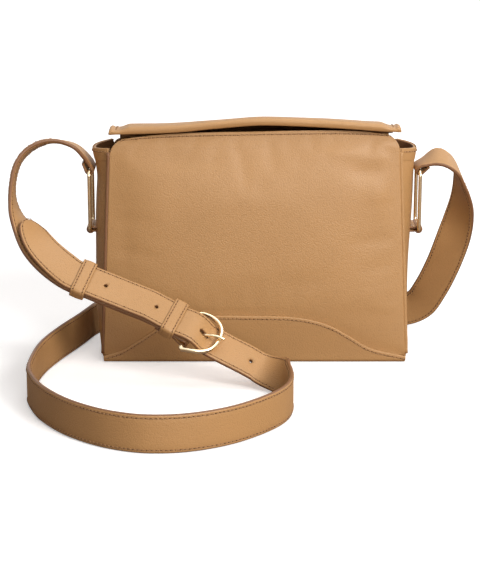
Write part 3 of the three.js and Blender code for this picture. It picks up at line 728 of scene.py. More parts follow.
# ---- straps ----
def frames(stations, step):
    """Places along a band: centre, way across, way out of its face, thickness."""
    p = [np.array(s[0], float) for s in stations]
    w = [np.array(s[1], float) / np.linalg.norm(s[1]) for s in stations]
    t = [s[2] if len(s) > 2 else THICK for s in stations]
    where = []
    for i in range(len(p) - 1):
        count = max(1, round(np.linalg.norm(p[i + 1] - p[i]) / step))
        where += [(i, k / count) for k in range(count)]
    where.append((len(p) - 2, 1.0))
    c = np.array([spline(p, i, f) for i, f in where])
    a = np.array([spline(w, i, f, True) for i, f in where])
    thick = np.array([t[i] + (t[i + 1] - t[i]) * f for i, f in where])
    run = np.array([(spline(p, i, min(f + 1e-3, 1)) - spline(p, i, max(f - 1e-3, 0))) for i, f in where])
    run /= np.linalg.norm(run, axis=1, keepdims=True)
    a -= run * (a * run).sum(1)[:, None]
    a /= np.linalg.norm(a, axis=1, keepdims=True)
    n = np.cross(run, a)
    return c, a, n, thick


def buckle(a, across, n):
    return BUCKLE_AT + ALONG * a + ACROSS * across + OUT * n


def upper(a, across, n):
    return UPPER_AT + UPPER_ALONG * a + UPPER_ACROSS * across + UPPER_OUT * n


def in_buckle(a, n, thick=THICK):
    return (buckle(a, 0, n), ACROSS, thick)


def in_upper(a, n):
    return (upper(a, 0, n), UPPER_ACROSS)


def ring_fold(way, dx, dz, side):
    r = WIRE + GAP + SKIVED / 2
    c = np.array([way * RING_X, 0, BAR_HIGH])
    d = np.array([dx, 0, dz]) / math.hypot(dx, dz)
    n = np.array([-side * d[2], 0, side * d[0]])

    def q(along, out, thick=SKIVED):
        return (c + d * along + n * out, (0, 1, 0), thick)

    turn = [q(-r * math.cos(math.radians(a)), r * math.sin(math.radians(a))) for a in (-60, -30, 0, 30, 60)]
    return [q(8, -0.5), q(4.2, -1.6), q(1, -r), *turn, q(1, r), q(5, r, 2.6)]


def buckle_strap_run():
    return [
        *ring_fold(-1, -5.95, 8.03, -1),
        ((-137.8, -2.5, 163.1), (-0.2, 0.99, 0.09)),
        ((-145.2, -5, 168.5), (-0.3, 0.96, -0.04)),
        ((-157.4, -9, 172.1), (-0.28, 0.95, -0.2)),
        ((-169.6, -13.5, 170.4), (-0.29, 0.9, -0.33)),
        ((-180.2, -19, 163.6), (-0.27, 0.84, -0.48)),
        ((-186.2, -27, 152.9), (-0.14, 0.82, -0.57)),
        ((-187.7, -37, 139.1), (-0.03, 0.8, -0.6)),
        ((-184.7, -47, 126.3), (0.19, 0.86, -0.46)),
        ((-178.4, -56, 115.6), (0.46, 0.85, -0.22)),
        ((-168.4, -65, 101.7), (0.62, 0.77, 0.15)),
        ((-156.5, -72.5, 91), (0.54, 0.76, 0.37)),
        *[in_upper(a, 0) for a in (-9, 0, 18, 38)],
        in_buckle(-36, 0),
    ]


def buckle_strap_end():
    r = 2 + GAP + SKIVED / 2
    turn = [in_buckle(r * math.cos(math.radians(g)), BAR_N + r * math.sin(math.radians(g)), SKIVED)
            for g in (90, 60, 30, 0, -30, -60, -90)]
    way = [in_buckle(a, n, SKIVED) for a, n in ((-28, 0.7), (-20, 0.7), (-10, 0.7), (-4, 0.7))]
    back = [in_buckle(a, n, SKIVED) for a, n in ((-3.6, -4.6), (-6.8, -2.3), (-9.4, -1.45), (-14, -1.4),
                                                 (-24, -1.4))]
    return way + turn + back


def long_strap_run():
    def flat(x, y, w=(0, 0, 1)):
        return ((x, y, STRAP / 2 + 0.2), w)

    c, a, n, _ = frames(buckle_strap_run(), 9)
    over = []
    for k in range(len(c))[::-1]:
        if (c[k] - BUCKLE_AT) @ ALONG < -30 and c[k][2] < 115.7:
            past = min(1, max(0, (-11 - (c[k] - UPPER_AT) @ UPPER_ALONG) / 12))
            over.append((c[k] + n[k] * (OVER + 2.4 * past), a[k]))
    floor = [(108, 65), (60, 67), (0, 71), (-60, 76), (-94, 75), (-115, 66), (-129.3, 42.8), (-141.3, 5.7),
             (-155.9, -37.8),
             (-164, -69.2), (-167.6, -100), (-167.4, -139.2), (-163, -157), (-154.7, -178.8), (-137.5,
                                                                                               -206.3),
             (-119, -225.6), (-100.4, -238.6), (-79.8, -246.3), (-59.5, -246.8), (-42.7, -242.8), (-22.6,
                                                                                                   -232.7),
             (-5.4, -218.6), (12, -198.1), (20.8, -182.3), (25, -167), (26, -148)]
    dip = [(61, -2), (48, -1.5), (34, -1.9), (25, -2), (20, -1.9), (15, -1.1), (10, 1.7), (5, 4.4), (0, 5.1),
           (-4, 4.6), (-8.5, OVER), (-14, OVER), (-25, OVER)]
    return [
        *ring_fold(1, 8.93, 4.49, 1),
        ((143.8, -1.5, 158.4), (0.05, 0.96, 0.27)),
        ((152.5, -2, 156), (0.1, 0.97, 0.2)),
        ((160.5, 1, 148), (0.05, 1, 0.05)),
        ((165, 7, 134), (-0.2, 0.98, -0.02)),
        ((167, 13, 118), (-0.5, 0.86, -0.08)),
        ((165.5, 20, 101), (-0.75, 0.65, -0.05)),
        ((161, 28, 80), (-0.93, 0.33, 0.1)),
        ((155, 38, 58), (-0.93, 0.2, 0.3)),
        ((147.5, 48, 37.5), (-0.85, 0.12, 0.5)),
        ((139, 57, 21.5), (-0.62, 0.08, 0.78)),
        ((127, 62.5, 15), (-0.25, 0.03, 0.97)),
        *[flat(x, y) for x, y in floor],
        flat(24.5, -130, (0, 0.1, 1)),
        ((19, -113.5, 13.3), (0.22, 0.56, 0.8)),
        *[in_buckle(a, n) for a, n in dip],
        *over,
    ]


GROOVE = 11.5


def strap_profile():
    """Half of a strap's section: way across, drop from full thickness, and 1 where the edge is painted."""
    top = [(-13.75, 0.75, 1), (-13.3, 0.25, 1), (-12.7, 0.03, 0), (-12.1, 0.0, 0), (-11.8, 0.08, 0),
           (-GROOVE, 0.13, 0),
           (-11.2, 0.08, 0), (-10.8, 0.0, 0), (-8, -0.08, 0), (-4, -0.1, 0)]
    top += [(0, -0.1, 0)] + [(-x, d, e) for x, d, e in reversed(top)]
    return top


def strap_object(name, path, tip=0.0, width=STRAP):
    c, a, n, thick = path
    left = np.cumsum(np.linalg.norm(np.diff(c[::-1], axis=0), axis=1))
    left = np.concatenate([[0], left])[::-1]
    d = np.minimum(left, tip) if tip else left * 0
    half = np.full(len(c), width / 2)
    if tip:
        half = width / 2 - tip + np.sqrt(np.maximum(tip * tip - (tip - d) ** 2, 0) + 1.5)
        half = np.minimum(half, width / 2)
    profile = strap_profile()
    rings, kinds = [], []
    for x, drop, _ in profile:
        rings.append(c + a * (half * x / 14)[:, None] + n * (thick / 2 - drop * thick / THICK)[:, None])
    rings.append(c + a * (half * 1.0)[:, None] + n * (thick * 0.12)[:, None])
    rings.append(c + a * (half * 1.0)[:, None] - n * (thick * 0.12)[:, None])
    for x, drop, _ in reversed(profile):
        rings.append(c + a * (half * x / 14)[:, None] - n * (thick / 2 - drop * thick / THICK)[:, None])
    rings.append(c - a * (half * 1.0)[:, None] - n * (thick * 0.12)[:, None])
    rings.append(c - a * (half * 1.0)[:, None] + n * (thick * 0.12)[:, None])
    edge = [p[2] for p in profile]
    marks = [int(edge[k] and edge[min(k + 1, len(edge) - 1)]) for k in range(len(edge))]
    marks[-1] = 1
    other = [int(edge[::-1][k] and edge[::-1][min(k + 1, len(edge) - 1)]) for k in range(len(edge))]
    other[-1] = 1
    kinds = marks + [1, 1] + other + [1, 1]
    return loft(name, np.stack(rings, 1), (LOOKS["strap"], LOOKS["edge"]), which=kinds), half


def strap_rows(path, half, start=0, end=None):
    c, a, n, thick = (x[start:end] for x in path)
    half = half[start:end]
    rows = []
    for side in (-1, 1):
        for face in (-1, 1):
            rows.append(c + a * (side * half * GROOVE / 14)[:, None] + n * (face * (thick / 2 - 0.02))[:,
                                                                                                       None])
    return rows


def cut_holes(o, holes):
    """Punches holes through a strap, given as place along it, radius and stretch."""
    g = np.linspace(0, 2 * math.pi, 20, endpoint=False)
    cutters = []
    for at, r, stretch, place in holes:
        level = lambda h: [place(at + r * math.cos(x) + stretch * np.sign(math.cos(x) + 1e-9),
                                 r * math.sin(x), h) for x in g]
        cutters.append(loft("cutter", [level(-9), level(11)], (LOOKS["edge"],)))
    for cutter in cutters:
        modifier = o.modifiers.new("Hole", "BOOLEAN")
        modifier.operation = "DIFFERENCE"
        modifier.solver = "EXACT"
        modifier.object = cutter
        applied(o, o.name)
    for cutter in cutters:
        bpy.data.objects.remove(cutter)
    o.data.polygons.foreach_set("use_smooth", [True] * len(o.data.polygons))
    return o


def ride_strap(o, ring_body, start, end):
    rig.blend(o, ring_body, "bag", start=[x * MM for x in start], end=[x * MM for x in end])


def make_straps():
    pitch = 41.3
    ring = (RING_X + 20, 0, BAR_HIGH - 2)
    right = (ring, (ring[0] - 60, 0, ring[2] - 100))
    left = ((-RING_X, -16, BAR_HIGH + 1), (-RING_X - 20, -66, BAR_HIGH - 34))
    long_path = frames(long_strap_run(), 2.6)
    strap, half = strap_object("long_strap_leather", long_path, tip=12)
    cut_holes(strap, [(10.8, 1.9, 2.3, buckle), (10.8 + pitch, 1.5, 0, buckle),
                      (10.8 - pitch, 1.5, 0, buckle),
                      (17.7, 1.5, 0, upper)])
    sewn = stitches("long_strap_stitches", strap_rows(long_path, half, 26))
    short_path = frames(buckle_strap_run() + buckle_strap_end(), 2.6)
    short, half = strap_object("buckle_strap_leather", short_path)
    cut_holes(short, [(0.4, 1.9, 3.6, buckle)])
    short_sewn = stitches("buckle_strap_stitches", strap_rows(short_path, half, 26, -24))
    for o in (strap, sewn):
        ride_strap(o, "right_ring_body", *right)
    for o in (short, short_sewn):
        ride_strap(o, "left_ring_body", *left)
    for o, node in ((strap, "long_strap"), (short, "buckle_strap")):
        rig.replaces(o, node)
        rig.slot(o, "leather")
    run = lambda path: float(np.linalg.norm(np.diff(path[0], axis=0), axis=1).sum()) * MM
    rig.cord(strap, exit=list(long_path[0][14] * MM), length=run(long_path), diameter=STRAP * MM,
            far_end="object",
            stiffness="medium", lay="loose", path=(long_path[0] * MM).tolist(), with_pieces=[sewn])
    return short, short_sewn, short_path, run(short_path)


def make_buckle(short, short_sewn, short_path, run):
    pieces = []
    points = []
    power = lambda v, e: np.sign(v) * abs(v) ** e
    for g in np.linspace(-90, 90, 49):
        c, s = max(math.cos(math.radians(g)), 1e-4), math.sin(math.radians(g))
        points.append(buckle(1.2 + 22 * c**0.8, 18.6 * power(s, 0.8), BAR_N + 7.4 * c**0.5))
    points += [buckle(0.2, 17.6, BAR_N)] + [buckle(0, l, BAR_N) for l in np.linspace(15, -15, 7)]
    points += [buckle(0.2, -17.6, BAR_N)]
    frame_piece = loft("buckle_bow", rod_rings(points, 1.6, 2.0, OUT, True, 24), (LOOKS["gold"],),
                       endless=True)
    pieces.append((frame_piece, "buckle_frame", "buckle_body", "gold_metal"))
    hook = [buckle(3.5 * math.cos(math.radians(g)), 0, BAR_N + 3.5 * math.sin(math.radians(g)))
            for g in np.linspace(150, 350, 9)]
    rest = [buckle(a, 0, n) for a, n in ((5.2, -1.7), (8, -0.3), (10.8, 1.4), (14, 3.7), (17.5, 6.2), (21, 8),
                                         (24, 8.7), (27, 8.7))]
    line = hook + rest
    smooth_line = [spline(line, i, f) for i in range(len(line) - 1) for f in (0, 0.25, 0.5,
                                                                              0.75)] + [line[-1]]
    rings = rod_rings(smooth_line, 1.15, 1.15, ACROSS, False, 20)
    mid = rings.mean(1)
    for k, shrink in ((0, 0.55), (1, 0.86), (-2, 0.88), (-1, 0.6)):
        rings[k] = mid[k] + (rings[k] - mid[k]) * shrink
    prong = loft("buckle_pin", rings, (LOOKS["gold"],))
    pieces.append((prong, "buckle_prong", "prong_body", "gold_metal"))
    for name, node, at, low, body, place in (
        ("fixed_loop", "fixed_keeper", -14.8, -1.4 - SKIVED / 2 - GAP, "bag", buckle),
        ("sliding_loop", "sliding_keeper", 0, -THICK / 2 - GAP, "keeper_body", upper),
    ):
        band, rows = keeper(name, place, at, low)
        sewn = stitches(name + "_stitches", rows, pitch=0.0028)
        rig.ride(sewn, body)
        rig.slot(sewn, "edge_leather")
        pieces.append((band, node, body, "leather"))
        pieces.append((sewn, None, body, "edge_leather"))
    for o, node, body, look in pieces:
        if node:
            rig.ride(o, body)
            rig.replaces(o, node)
            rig.slot(o, look)
    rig.cord(short, exit=list(short_path[0][14] * MM), length=run, diameter=STRAP * MM, far_end="fitting",
            stiffness="medium", lay="loose", path=(short_path[0] * MM).tolist(),
            with_pieces=[short_sewn] + [p[0] for p in pieces])


def keeper(name, place, mid, low):
    """Closed leather band round both straps, with rounded edges."""
    high = THICK / 2 + OVER + GAP
    half, r, long, t = STRAP / 2 + GAP, 1.0, 11.0, 1.6
    centre, rise = (high + low) / 2, (high - low) / 2
    loop = []
    for sl, sn, a0 in ((1, -1, -90), (1, 1, 0), (-1, 1, 90), (-1, -1, 180)):
        for a in np.linspace(a0, a0 + 90, 7):
            loop.append((sl * (half - r), centre + sn * (rise - r), math.cos(math.radians(a)),
                         math.sin(math.radians(a))))
    dense = []
    for k, q in enumerate(loop):
        nxt = loop[(k + 1) % len(loop)]
        gap = math.hypot(nxt[0] - q[0], nxt[1] - q[1])
        count = max(1, int(gap / 1.5))
        dense += [tuple(q[m] + (nxt[m] - q[m]) * j / count for m in range(4)) for j in range(count)]
    e = long / 2
    section = [(-e + 0.3, r), (e - 0.3, r), (e, r + 0.4), (e, r + t - 0.55), (e - 0.35, r + t - 0.1),
               (e - 0.8, r + t)]
    section += [(e - 1.55, r + t), (e - 1.8, r + t - 0.2), (e - 2.05, r + t), (e - 3.4, r + t + 0.15)]
    section += [(0, r + t + 0.2)]
    section += [(-a, d) for a, d in reversed(section[2:-1])]
    rings = []
    for l, n, c, s in dense:
        rings.append([place(mid + a, l + d * c, n + d * s) for a, d in section])
    marks = [1, 1, 1] + [0] * (len(section) - 5) + [1, 1]
    band = loft(name, rings, (LOOKS["strap"], LOOKS["edge"]), endless=True, which=marks)
    rows = []
    top = [(l, n, c, s) for l, n, c, s in dense if s > 0.98]
    for a in (e - 1.8, -e + 1.8):
        rows.append([place(mid + a, l + (r + t) * c, n + (r + t) * s - 0.05) for l, n, c, s in top])
        under = [(l, n, c, s) for l, n, c, s in dense if s < -0.98]
        rows.append([place(mid + a, l + (r + t) * c, n + (r + t) * s + 0.05) for l, n, c, s in under])
    return band, rows


# ---- the body ----
def sewn_in(name, p, pin, pressure, spare, cap):
    """How far each point of a padded sheet moves out between its sewn edges, in millimetres."""
    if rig.quick():
        return np.zeros_like(p)
    nv, nu = p.shape[:2]
    faces = [(j * nu + i, j * nu + i + 1, (j + 1) * nu + i + 1, (j + 1) * nu + i)
             for j in range(nv - 1) for i in range(nu - 1)]
    o = mesh_object(name, p, faces)
    group = o.vertex_groups.new(name="Sewn")
    group.add([int(i) for i in np.nonzero(pin.ravel())[0]], 1.0, "REPLACE")
    cloth = o.modifiers.new("Cloth", "CLOTH")
    c = cloth.settings
    c.quality = 6
    c.mass = 0.25
    c.tension_stiffness = c.compression_stiffness = 25
    c.shear_stiffness = 12
    c.bending_stiffness = 2.5
    c.use_pressure = True
    c.uniform_pressure_force = pressure
    c.shrink_min = -spare
    c.vertex_group_mass = "Sewn"
    c.effector_weights.gravity = 0
    cloth.point_cache.frame_start = 1
    cloth.point_cache.frame_end = 20
    for f in range(1, 21):
        bpy.context.scene.frame_set(f)
    applied(o, name)
    bpy.context.scene.frame_set(1)
    moved = np.array([v.co for v in o.data.vertices]).reshape(nv, nu, 3) / MM - p
    bpy.data.objects.remove(o)
    far = np.linalg.norm(moved, axis=-1, keepdims=True)
    return moved * np.minimum(1, cap / np.maximum(far, 1e-6))


def panel_grid(way, top, corner, us, vs):
    u, v = np.meshgrid(us, vs)
    high = top(u * half_width(RIM))
    z = 5 + (high - 5) * v
    turn = np.clip((z - high + corner) / corner, 0, 1)
    return on_face(way, u, z, 0, half_width(z) - corner * (1 - np.sqrt(1 - turn * turn)))


def hump(p, x, z, wide, tall, height):
    return height * np.exp(-(((p[..., 0] - x) / wide) ** 2) - ((p[..., 2] - z) / tall) ** 2)


def make_panels():
    # grid lines crowd towards the rounded top corners
    rows = np.concatenate([edged(46, 170, 0, 0.9)[:-5], np.linspace(0.9, 0.995, 18),
                           1 - np.array([0.0032, 0.0016, 0.0006, 0])])
    rows = np.unique(np.round(rows, 5))
    front = panel_grid(-1, front_top, 13, edged(70, 236, -1, 1), rows)
    coarse_u, coarse_v = np.linspace(-1, 1, 61), np.linspace(0, 1, 47)
    coarse = panel_grid(-1, front_top, 13, coarse_u, coarse_v)
    d = rim_distance(coarse)
    pin = (d < 5) | (coarse[..., 2] < 42)
    swell = sewn_in("front_cloth", coarse, pin, settings().fill, 0.002, 2.2)
    front = front + resample(swell, coarse_u, coarse_v, edged(70, 236, -1, 1), rows)
    inside = np.clip((rim_distance(front) - 4) / 14, 0, 1)
    low = smooth(40, 62, front[..., 2])
    dents = hump(front, 88, 152, 15, 7, -1.5) + hump(front, 97, 132, 9, 15, 1.1) + hump(front, 70, 166, 18,
                                                                                        5, 0.9)
    dents += hump(front, 104, 160, 6, 9, 0.9) + hump(front, -84, 120, 20, 30, 0.8) + hump(front, -104, 96,
                                                                                          8, 22, -0.8)
    dents += hump(front, 10, 108, 60, 34, 0.6) + hump(front, -58, 160, 26, 7, -0.9) + hump(front, 36, 66,
                                                                                           30, 10, -0.5)
    fold = front[..., 2] - yoke_edge(front[..., 0])
    crease = -0.9 * np.exp(-np.abs(fold - 0.5) / 2.2)
    front += normals(front) * facing(front, -1) * (dents * inside * low + crease)[..., None]
    o = turned_sheet("front_leather", front, LEATHER, facing(front, -1), (LOOKS["leather"],), roll=0.9)
    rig.padded(o, fill=0.5)
    back = panel_grid(1, lambda x: BACK_TOP + 0 * x, 6, edged(60, 236, -1, 1), rows)
    coarse = panel_grid(1, lambda x: BACK_TOP + 0 * x, 6, coarse_u, coarse_v)
    pin = (rim_distance(coarse) < 5) | (coarse[..., 2] < 26) | (coarse[..., 2] > BACK_TOP - 26)
    swell = sewn_in("back_cloth", coarse, pin, settings().fill * 0.5, 0.004, 1.6)
    back = back + resample(swell, coarse_u, coarse_v, edged(60, 236, -1, 1), rows)
    b = turned_sheet("back_leather", back, LEATHER, facing(back, 1), (LOOKS["leather"],), roll=0.9)
    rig.padded(b, fill=0.3)
    for piece, node in ((o, "front_panel"), (b, "back_panel")):
        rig.ride(piece, "bag")
        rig.replaces(piece, node)
        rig.slot(piece, "leather")


def facing(p, way):
    """1 or -1, so that the grid's normals times it point to that side of y."""
    return 1 if normals(p)[..., 1].mean() * way > 0 else -1


def resample(values, us, vs, new_us, new_vs):
    across = np.stack([np.stack([np.interp(new_us, us, row[:, k]) for row in values]) for k in range(3)], -1)
    return np.stack([np.stack([np.interp(new_vs, vs, across[:, i, k]) for i in range(len(new_us))], 1)
                     for k in range(3)], -1)


def yoke_point(way, u, z, lift=0.0):
    return on_face(way, u, z, -LAP - lift)


def make_base():
    us = edged(110, 240, -1, 1)
    rows = []
    for s in edged(16, 36)[:-6]:
        edge = yoke_edge(us * BASE_WIDTH / 2)
        rows.append(yoke_point(-1, us, edge + (3 - edge) * s))
    low = -on_face(-1, us, np.full_like(us, 3.0), -LAP)[:, 1]
    for a in np.linspace(0, math.pi / 2, 9)[:-1]:
        rows.append(np.stack([us * half_width(3), -(low - 3 + 3 * math.cos(a)),
                              np.full_like(us, 3 - 3 * math.sin(a))], -1))
    for t in np.linspace(-1, 1, 22):
        rows.append(np.stack([us * half_width(3), (low - 3) * t, us * 0], -1))
    for a in np.linspace(math.pi / 2, 0, 9)[1:]:
        rows.append(np.stack([us * half_width(3), low - 3 + 3 * math.cos(a),
                              np.full_like(us, 3 - 3 * math.sin(a))], -1))
    for s in np.flip(edged(10, 17)[:-6]):
        rows.append(yoke_point(1, us, 20 + (3 - 20) * s + 0 * us))
    p = np.array(rows)
    n = normals(p)
    side = 1 if n[20:34, :, 2].mean() < 0 else -1
    o = turned_sheet("base_leather", p, LEATHER, side, (LOOKS["leather"], LOOKS["edge"]), crown=0.25,
                     roll=0.9)
    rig.ride(o, "bag")
    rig.replaces(o, "base_wrap")
    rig.slot(o, "leather")
    x = np.linspace(-BASE_WIDTH / 2 + 2.4, BASE_WIDTH / 2 - 2.4, 160)
    u = x / (BASE_WIDTH / 2)
    front = yoke_point(-1, u, yoke_edge(x) - 2.4, 0.15)
    return [front[u > -2], yoke_point(1, u, 17.6 + 0 * u, 0.1)]


def bulge(way, z):
    if way > 0:
        return 2.9 + 10.8 * (np.maximum(z, 0) / RIM) ** 1.5
    return 2.9 + 7.3 * np.sin(math.pi / 2 * np.clip(z / 75, 0, 1)) ** 1.1 + 3.5 * smooth(140, RIM, z)


def rim_at(v):
    return RIM - 2 * (1 - (2 * v - 1) ** 2)


def on_side(way, v, z, out):
    reach = half_depth(z) - LEATHER - 2 * GAP
    swell = bulge(way, z) * (1 - np.abs(2 * v - 1) ** 2.6)
    middle = smooth(8, 50, z) * (1 - smooth(140, 160, z))
    soft = settings().slump / MM * np.sin(z / 17 + 2.2 * v) * np.sin(math.pi * v) ** 2 * middle
    return np.stack(np.broadcast_arrays(way * (half_width(z) + GAP + swell + out + soft),
                                        (2 * v - 1) * reach, z), -1)


def make_sides():
    rows = []
    for name, way in (("left", -1), ("right", 1)):
        v, w = np.meshgrid(edged(40, 60), edged(60, 165))
        low = LEATHER + 2 * GAP
        p = on_side(way, v, low + (rim_at(v) - low) * w, 0)
        side = 1 if normals(p)[..., 0].mean() * way > 0 else -1
        gusset = turned_sheet(name + "_side_leather", p, LEATHER, side, (LOOKS["leather"], LOOKS["edge"]),
                              roll=0.9)
        # Faces turned into the bag take the dark edge colour, as painted shade inside the mouth.
        for face in gusset.data.polygons:
            face.material_index = int(face.normal.x * way < -0.3)
        v, w = np.meshgrid(edged(40, 60), edged(8, 10))
        p = on_side(way, v, rim_at(v) - 10 * (1 - w), GAP + 0.7 * smooth(-0.1, 0.8, w))
        hem = turned_sheet(name + "_side_hem", p, 0.7, side, (LOOKS["leather"],), crown=0.2, roll=0.6)
        v = np.linspace(0.04, 0.96, 40)
        rows.append(on_side(way, v, rim_at(v) - 2.8, GAP + 0.75))
        for o, node in ((gusset, name + "_gusset"), (hem, name + "_gusset_hem")):
            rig.ride(o, "bag")
            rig.replaces(o, node)
            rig.slot(o, "leather")
        for front, face in (("front", -1), ("back", 1)):
            z = np.linspace(6.5, RIM - 3, 60)
            inset = 1.3 if way > 0 else 1.05
            line = np.stack([way * (half_width(z) + 0.8), face * (half_depth(z) - inset), z], -1)
            rings = rod_rings(line, 1.45, 1.05, (0, 1, 0), False, 16)
            rings += (0.08 * np.sin(z * 1.9) * way)[:, None, None] * np.array([1, 0, 0])
            # The left welts take the dark edge colour and the right ones the hide colour: painted shade on the left
            # side, away from the key light.
            o = loft(front + "_" + name + "_seam", rings, (LOOKS["leather" if way > 0 else "edge"],))
            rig.ride(o, "bag")
            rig.replaces(o, front + "_" + name + "_welt")
            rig.slot(o, "edge_leather")
    return rows


def make_tabs():
    rows = []
    for name, way in (("left", -1), ("right", 1)):
        r = WIRE + GAP + 0.8
        q = lambda x, z, t=1.6: ((way * x, 0, BAR_LOW + z), (0, 1, 0), t)
        turn = [q(RING_X + r * math.cos(math.radians(a)),
                  r * math.sin(math.radians(a))) for a in np.linspace(150, -150, 9)]
        tail = RING_X - 13
        path = frames([q(tail, 1.3), q(tail + 4, 1.3), q(RING_X - 4, 1.35), *turn, q(RING_X - 4, -1.35),
                       q(tail + 4, -1.3), q(tail, -1.3)], 0.8)
        o, _ = strap_object(name + "_tab_leather", path, width=26.0)
        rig.ride(o, "bag")
        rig.replaces(o, name + "_ring_tab")
        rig.slot(o, "edge_leather")
        hy, hz, r = (RING_HIGH[1] - RING_LOW[1]) / 2 - WIRE, (BAR_HIGH - BAR_LOW) / 2, 3.5
        points = []
        for sy, sz, a0 in ((1, -1, -90), (1, 1, 0), (-1, 1, 90), (-1, -1, 180)):
            for g in np.radians(np.linspace(a0, a0 + 90, 13)):
                points.append((way * RING_X, sy * (hy - r) + r * math.cos(g),
                               BAR_LOW + hz + sz * (hz - r) + r * math.sin(g)))
            if sy * sz < 0:
                points += [(way * RING_X, sy * hy, BAR_LOW + hz + f * (hz - r) * sz * -1)
                           for f in (-0.66, -0.33, 0, 0.33, 0.66)]
            else:
                points += [(way * RING_X, sy * f * (hy - r), BAR_LOW + hz + sz * hz)
                           for f in (0.66, 0.33, 0, -0.33, -0.66)]
        ring = loft(name + "_ring_metal", rod_rings(points, WIRE, WIRE, (1, 0, 0), True, 20),
                    (LOOKS["gold"],), endless=True)
        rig.ride(ring, name + "_ring_body")
        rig.replaces(ring, name + "_ring")
        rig.slot(ring, "gold_metal")
    return rows


# ---- the flap ----
def flap_under(x, y):
    back = (np.maximum(0, y + 21) / 45) ** 1.6
    front = (np.maximum(0, -21 - y) / 7) ** 2
    return FRONT_TOP + 5.7 - 17.3 * back - 0.5 * front + flap_sag(x) * np.clip((24 - y) / 44, 0, 1)


def flap_thick(x):
    end = smooth(97, 106, np.abs(x))
    bead = np.exp(-(((np.abs(x) - 111.4) / 1.5) ** 2))
    return 5.6 - 2.2 * end + 1.1 * bead


def flap_point(x, v):
    a = np.clip(v, 0, 1) * math.pi / 2
    y = np.where(v < 1, -28 + 4.5 * (1 - np.cos(a)), -28 + 4.5 + (FLAP_BACK + 28 - 4.5) * (v - 1))
    up = np.where(v < 1, np.maximum(np.sin(a), 0) ** 0.8, 1.0)
    return np.stack([x, y - np.where(v < 1, 0.8 * np.sin(2 * a), 0), flap_under(x, y) + flap_thick(x) * up],
                    -1)


def make_flap():
    xs = np.concatenate([np.linspace(-FLAP_HALF, -96, 34), np.linspace(-94.5, 94.5, 110),
                         np.linspace(96, FLAP_HALF, 34)])
    vs = np.concatenate([[0, 0.05, 0.11], np.linspace(0.18, 1, 14), 1 + edged(26, 47)[1:]])
    x, v = np.meshgrid(xs, vs)
    p = flap_point(x, v)
    soft = smooth(1.0, 1.25, v) * (1 - smooth(1.75, 2, v)) * (1 - smooth(84, 97, np.abs(x)))
    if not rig.quick():
        lines = (np.linspace(-FLAP_HALF, FLAP_HALF, 64), np.linspace(1, 2, 16))
        gx, gv = np.meshgrid(*lines)
        coarse = flap_point(gx, gv)
        pin = (rim_distance(coarse) < 3) | (np.abs(gx) > 98)
        swell = sewn_in("flap_cloth", coarse, pin, settings().fill, 0.0, 1.2)
        top = resample(swell, lines[0], lines[1], xs, np.maximum(vs, 1))
        p = p + top * (v > 1)[..., None] * np.clip((rim_distance(p) - 3) / 8, 0, 1)[..., None]
    p[..., 2] += soft * (0.2 * np.sin(x / 27) + 0.08 * np.sin(x / 9 + 1))
    nose = smooth(0.1, 0.5, v) * (1 - smooth(0.9, 1.1, v))
    p[..., 1] += nose * (0.12 * np.sin(x / 17.0) + 0.05 * np.sin(x / 6.3 + 2))
    p[..., 1] += 1.7 * np.clip(1 - v, 0, 1) ** 1.6
    side = 1 if normals(p)[30:, :, 2].mean() > 0 else -1
    cover = turned_sheet("flap_leather", p, THIN, side, (LOOKS["leather"],), roll=0.6)
    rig.padded(cover, fill=0.6)
    x, y = np.meshgrid(np.linspace(-111, 111, 150), np.linspace(-28 + THIN + 0.7, FLAP_BACK, 30))
    p = np.stack([x, y, flap_under(x, y)], -1)
    side = 1 if normals(p)[..., 2].mean() < 0 else -1
    under = turned_sheet("flap_lining_leather", p, THIN, side, (LOOKS["edge"],), roll=0.5)
    for vert in under.data.vertices:
        vert.co.z += THIN * MM
    for o, node, look in ((cover, "flap_cover", "leather"), (under, "flap_lining", "edge_leather")):
        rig.ride(o, "flap")
        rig.replaces(o, node)
        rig.slot(o, look)
    rows = []
    y = np.linspace(-22, FLAP_BACK - 2, 30)
    for way in (-1, 1):
        x = way * 107.6 + 0 * y
        rows.append(np.stack([x, y, flap_under(x, y) + flap_thick(x) + 0.02], -1))
    sewn = stitches("flap_stitches", rows)
    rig.ride(sewn, "flap")
    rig.slot(sewn, "leather")


def hinge_point(x, v, depth):
    low = RIM - 21
    y0 = 17.5
    z = low + (RIM - low) * np.minimum(v, 1)
    a = np.clip(v - 1, 0, 1) * math.pi / 2
    face = on_face(1, x / half_width(z), z, -GAP - depth)[..., 1]
    rise = flap_under(x, y0) + flap_thick(x) - RIM + 2 * GAP + depth
    reach = on_face(1, x / half_width(RIM), np.full_like(z, RIM), -GAP - depth)[..., 1] - y0
    y = np.where(v < 1, face, y0 + reach * np.maximum(np.cos(a), 0) ** 0.75)
    return np.stack([x, y, np.where(v < 1, z, RIM + rise * np.maximum(np.sin(a), 0) ** 0.9)], -1)


def make_hinge():
    x, v = np.meshgrid(edged(80, 216, -108, 108), np.concatenate([edged(14, 21)[:-4], 1 + edged(22, 14)[3:]]))
    p = hinge_point(x, v, THIN)
    side = 1 if normals(p)[:10, :, 1].mean() > 0 else -1
    o = turned_sheet("hinge_leather", p, THIN, side, (LOOKS["leather"],), crown=0.15, roll=0.6)
    line = np.linspace(-105.6, 105.6, 90)
    rows = [hinge_point(line, np.full_like(line, 0.11), THIN - 0.05),
            hinge_point(line, np.full_like(line, 1.9), THIN - 0.03)]
    sewn = stitches("hinge_stitches", rows)
    for piece in (o, sewn):
        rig.blend(piece, "bag", "flap", start=(0, 0.027, 0.165), end=(0, 0.022, 0.176))
        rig.slot(piece, "leather")
    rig.replaces(o, "flap_hinge")


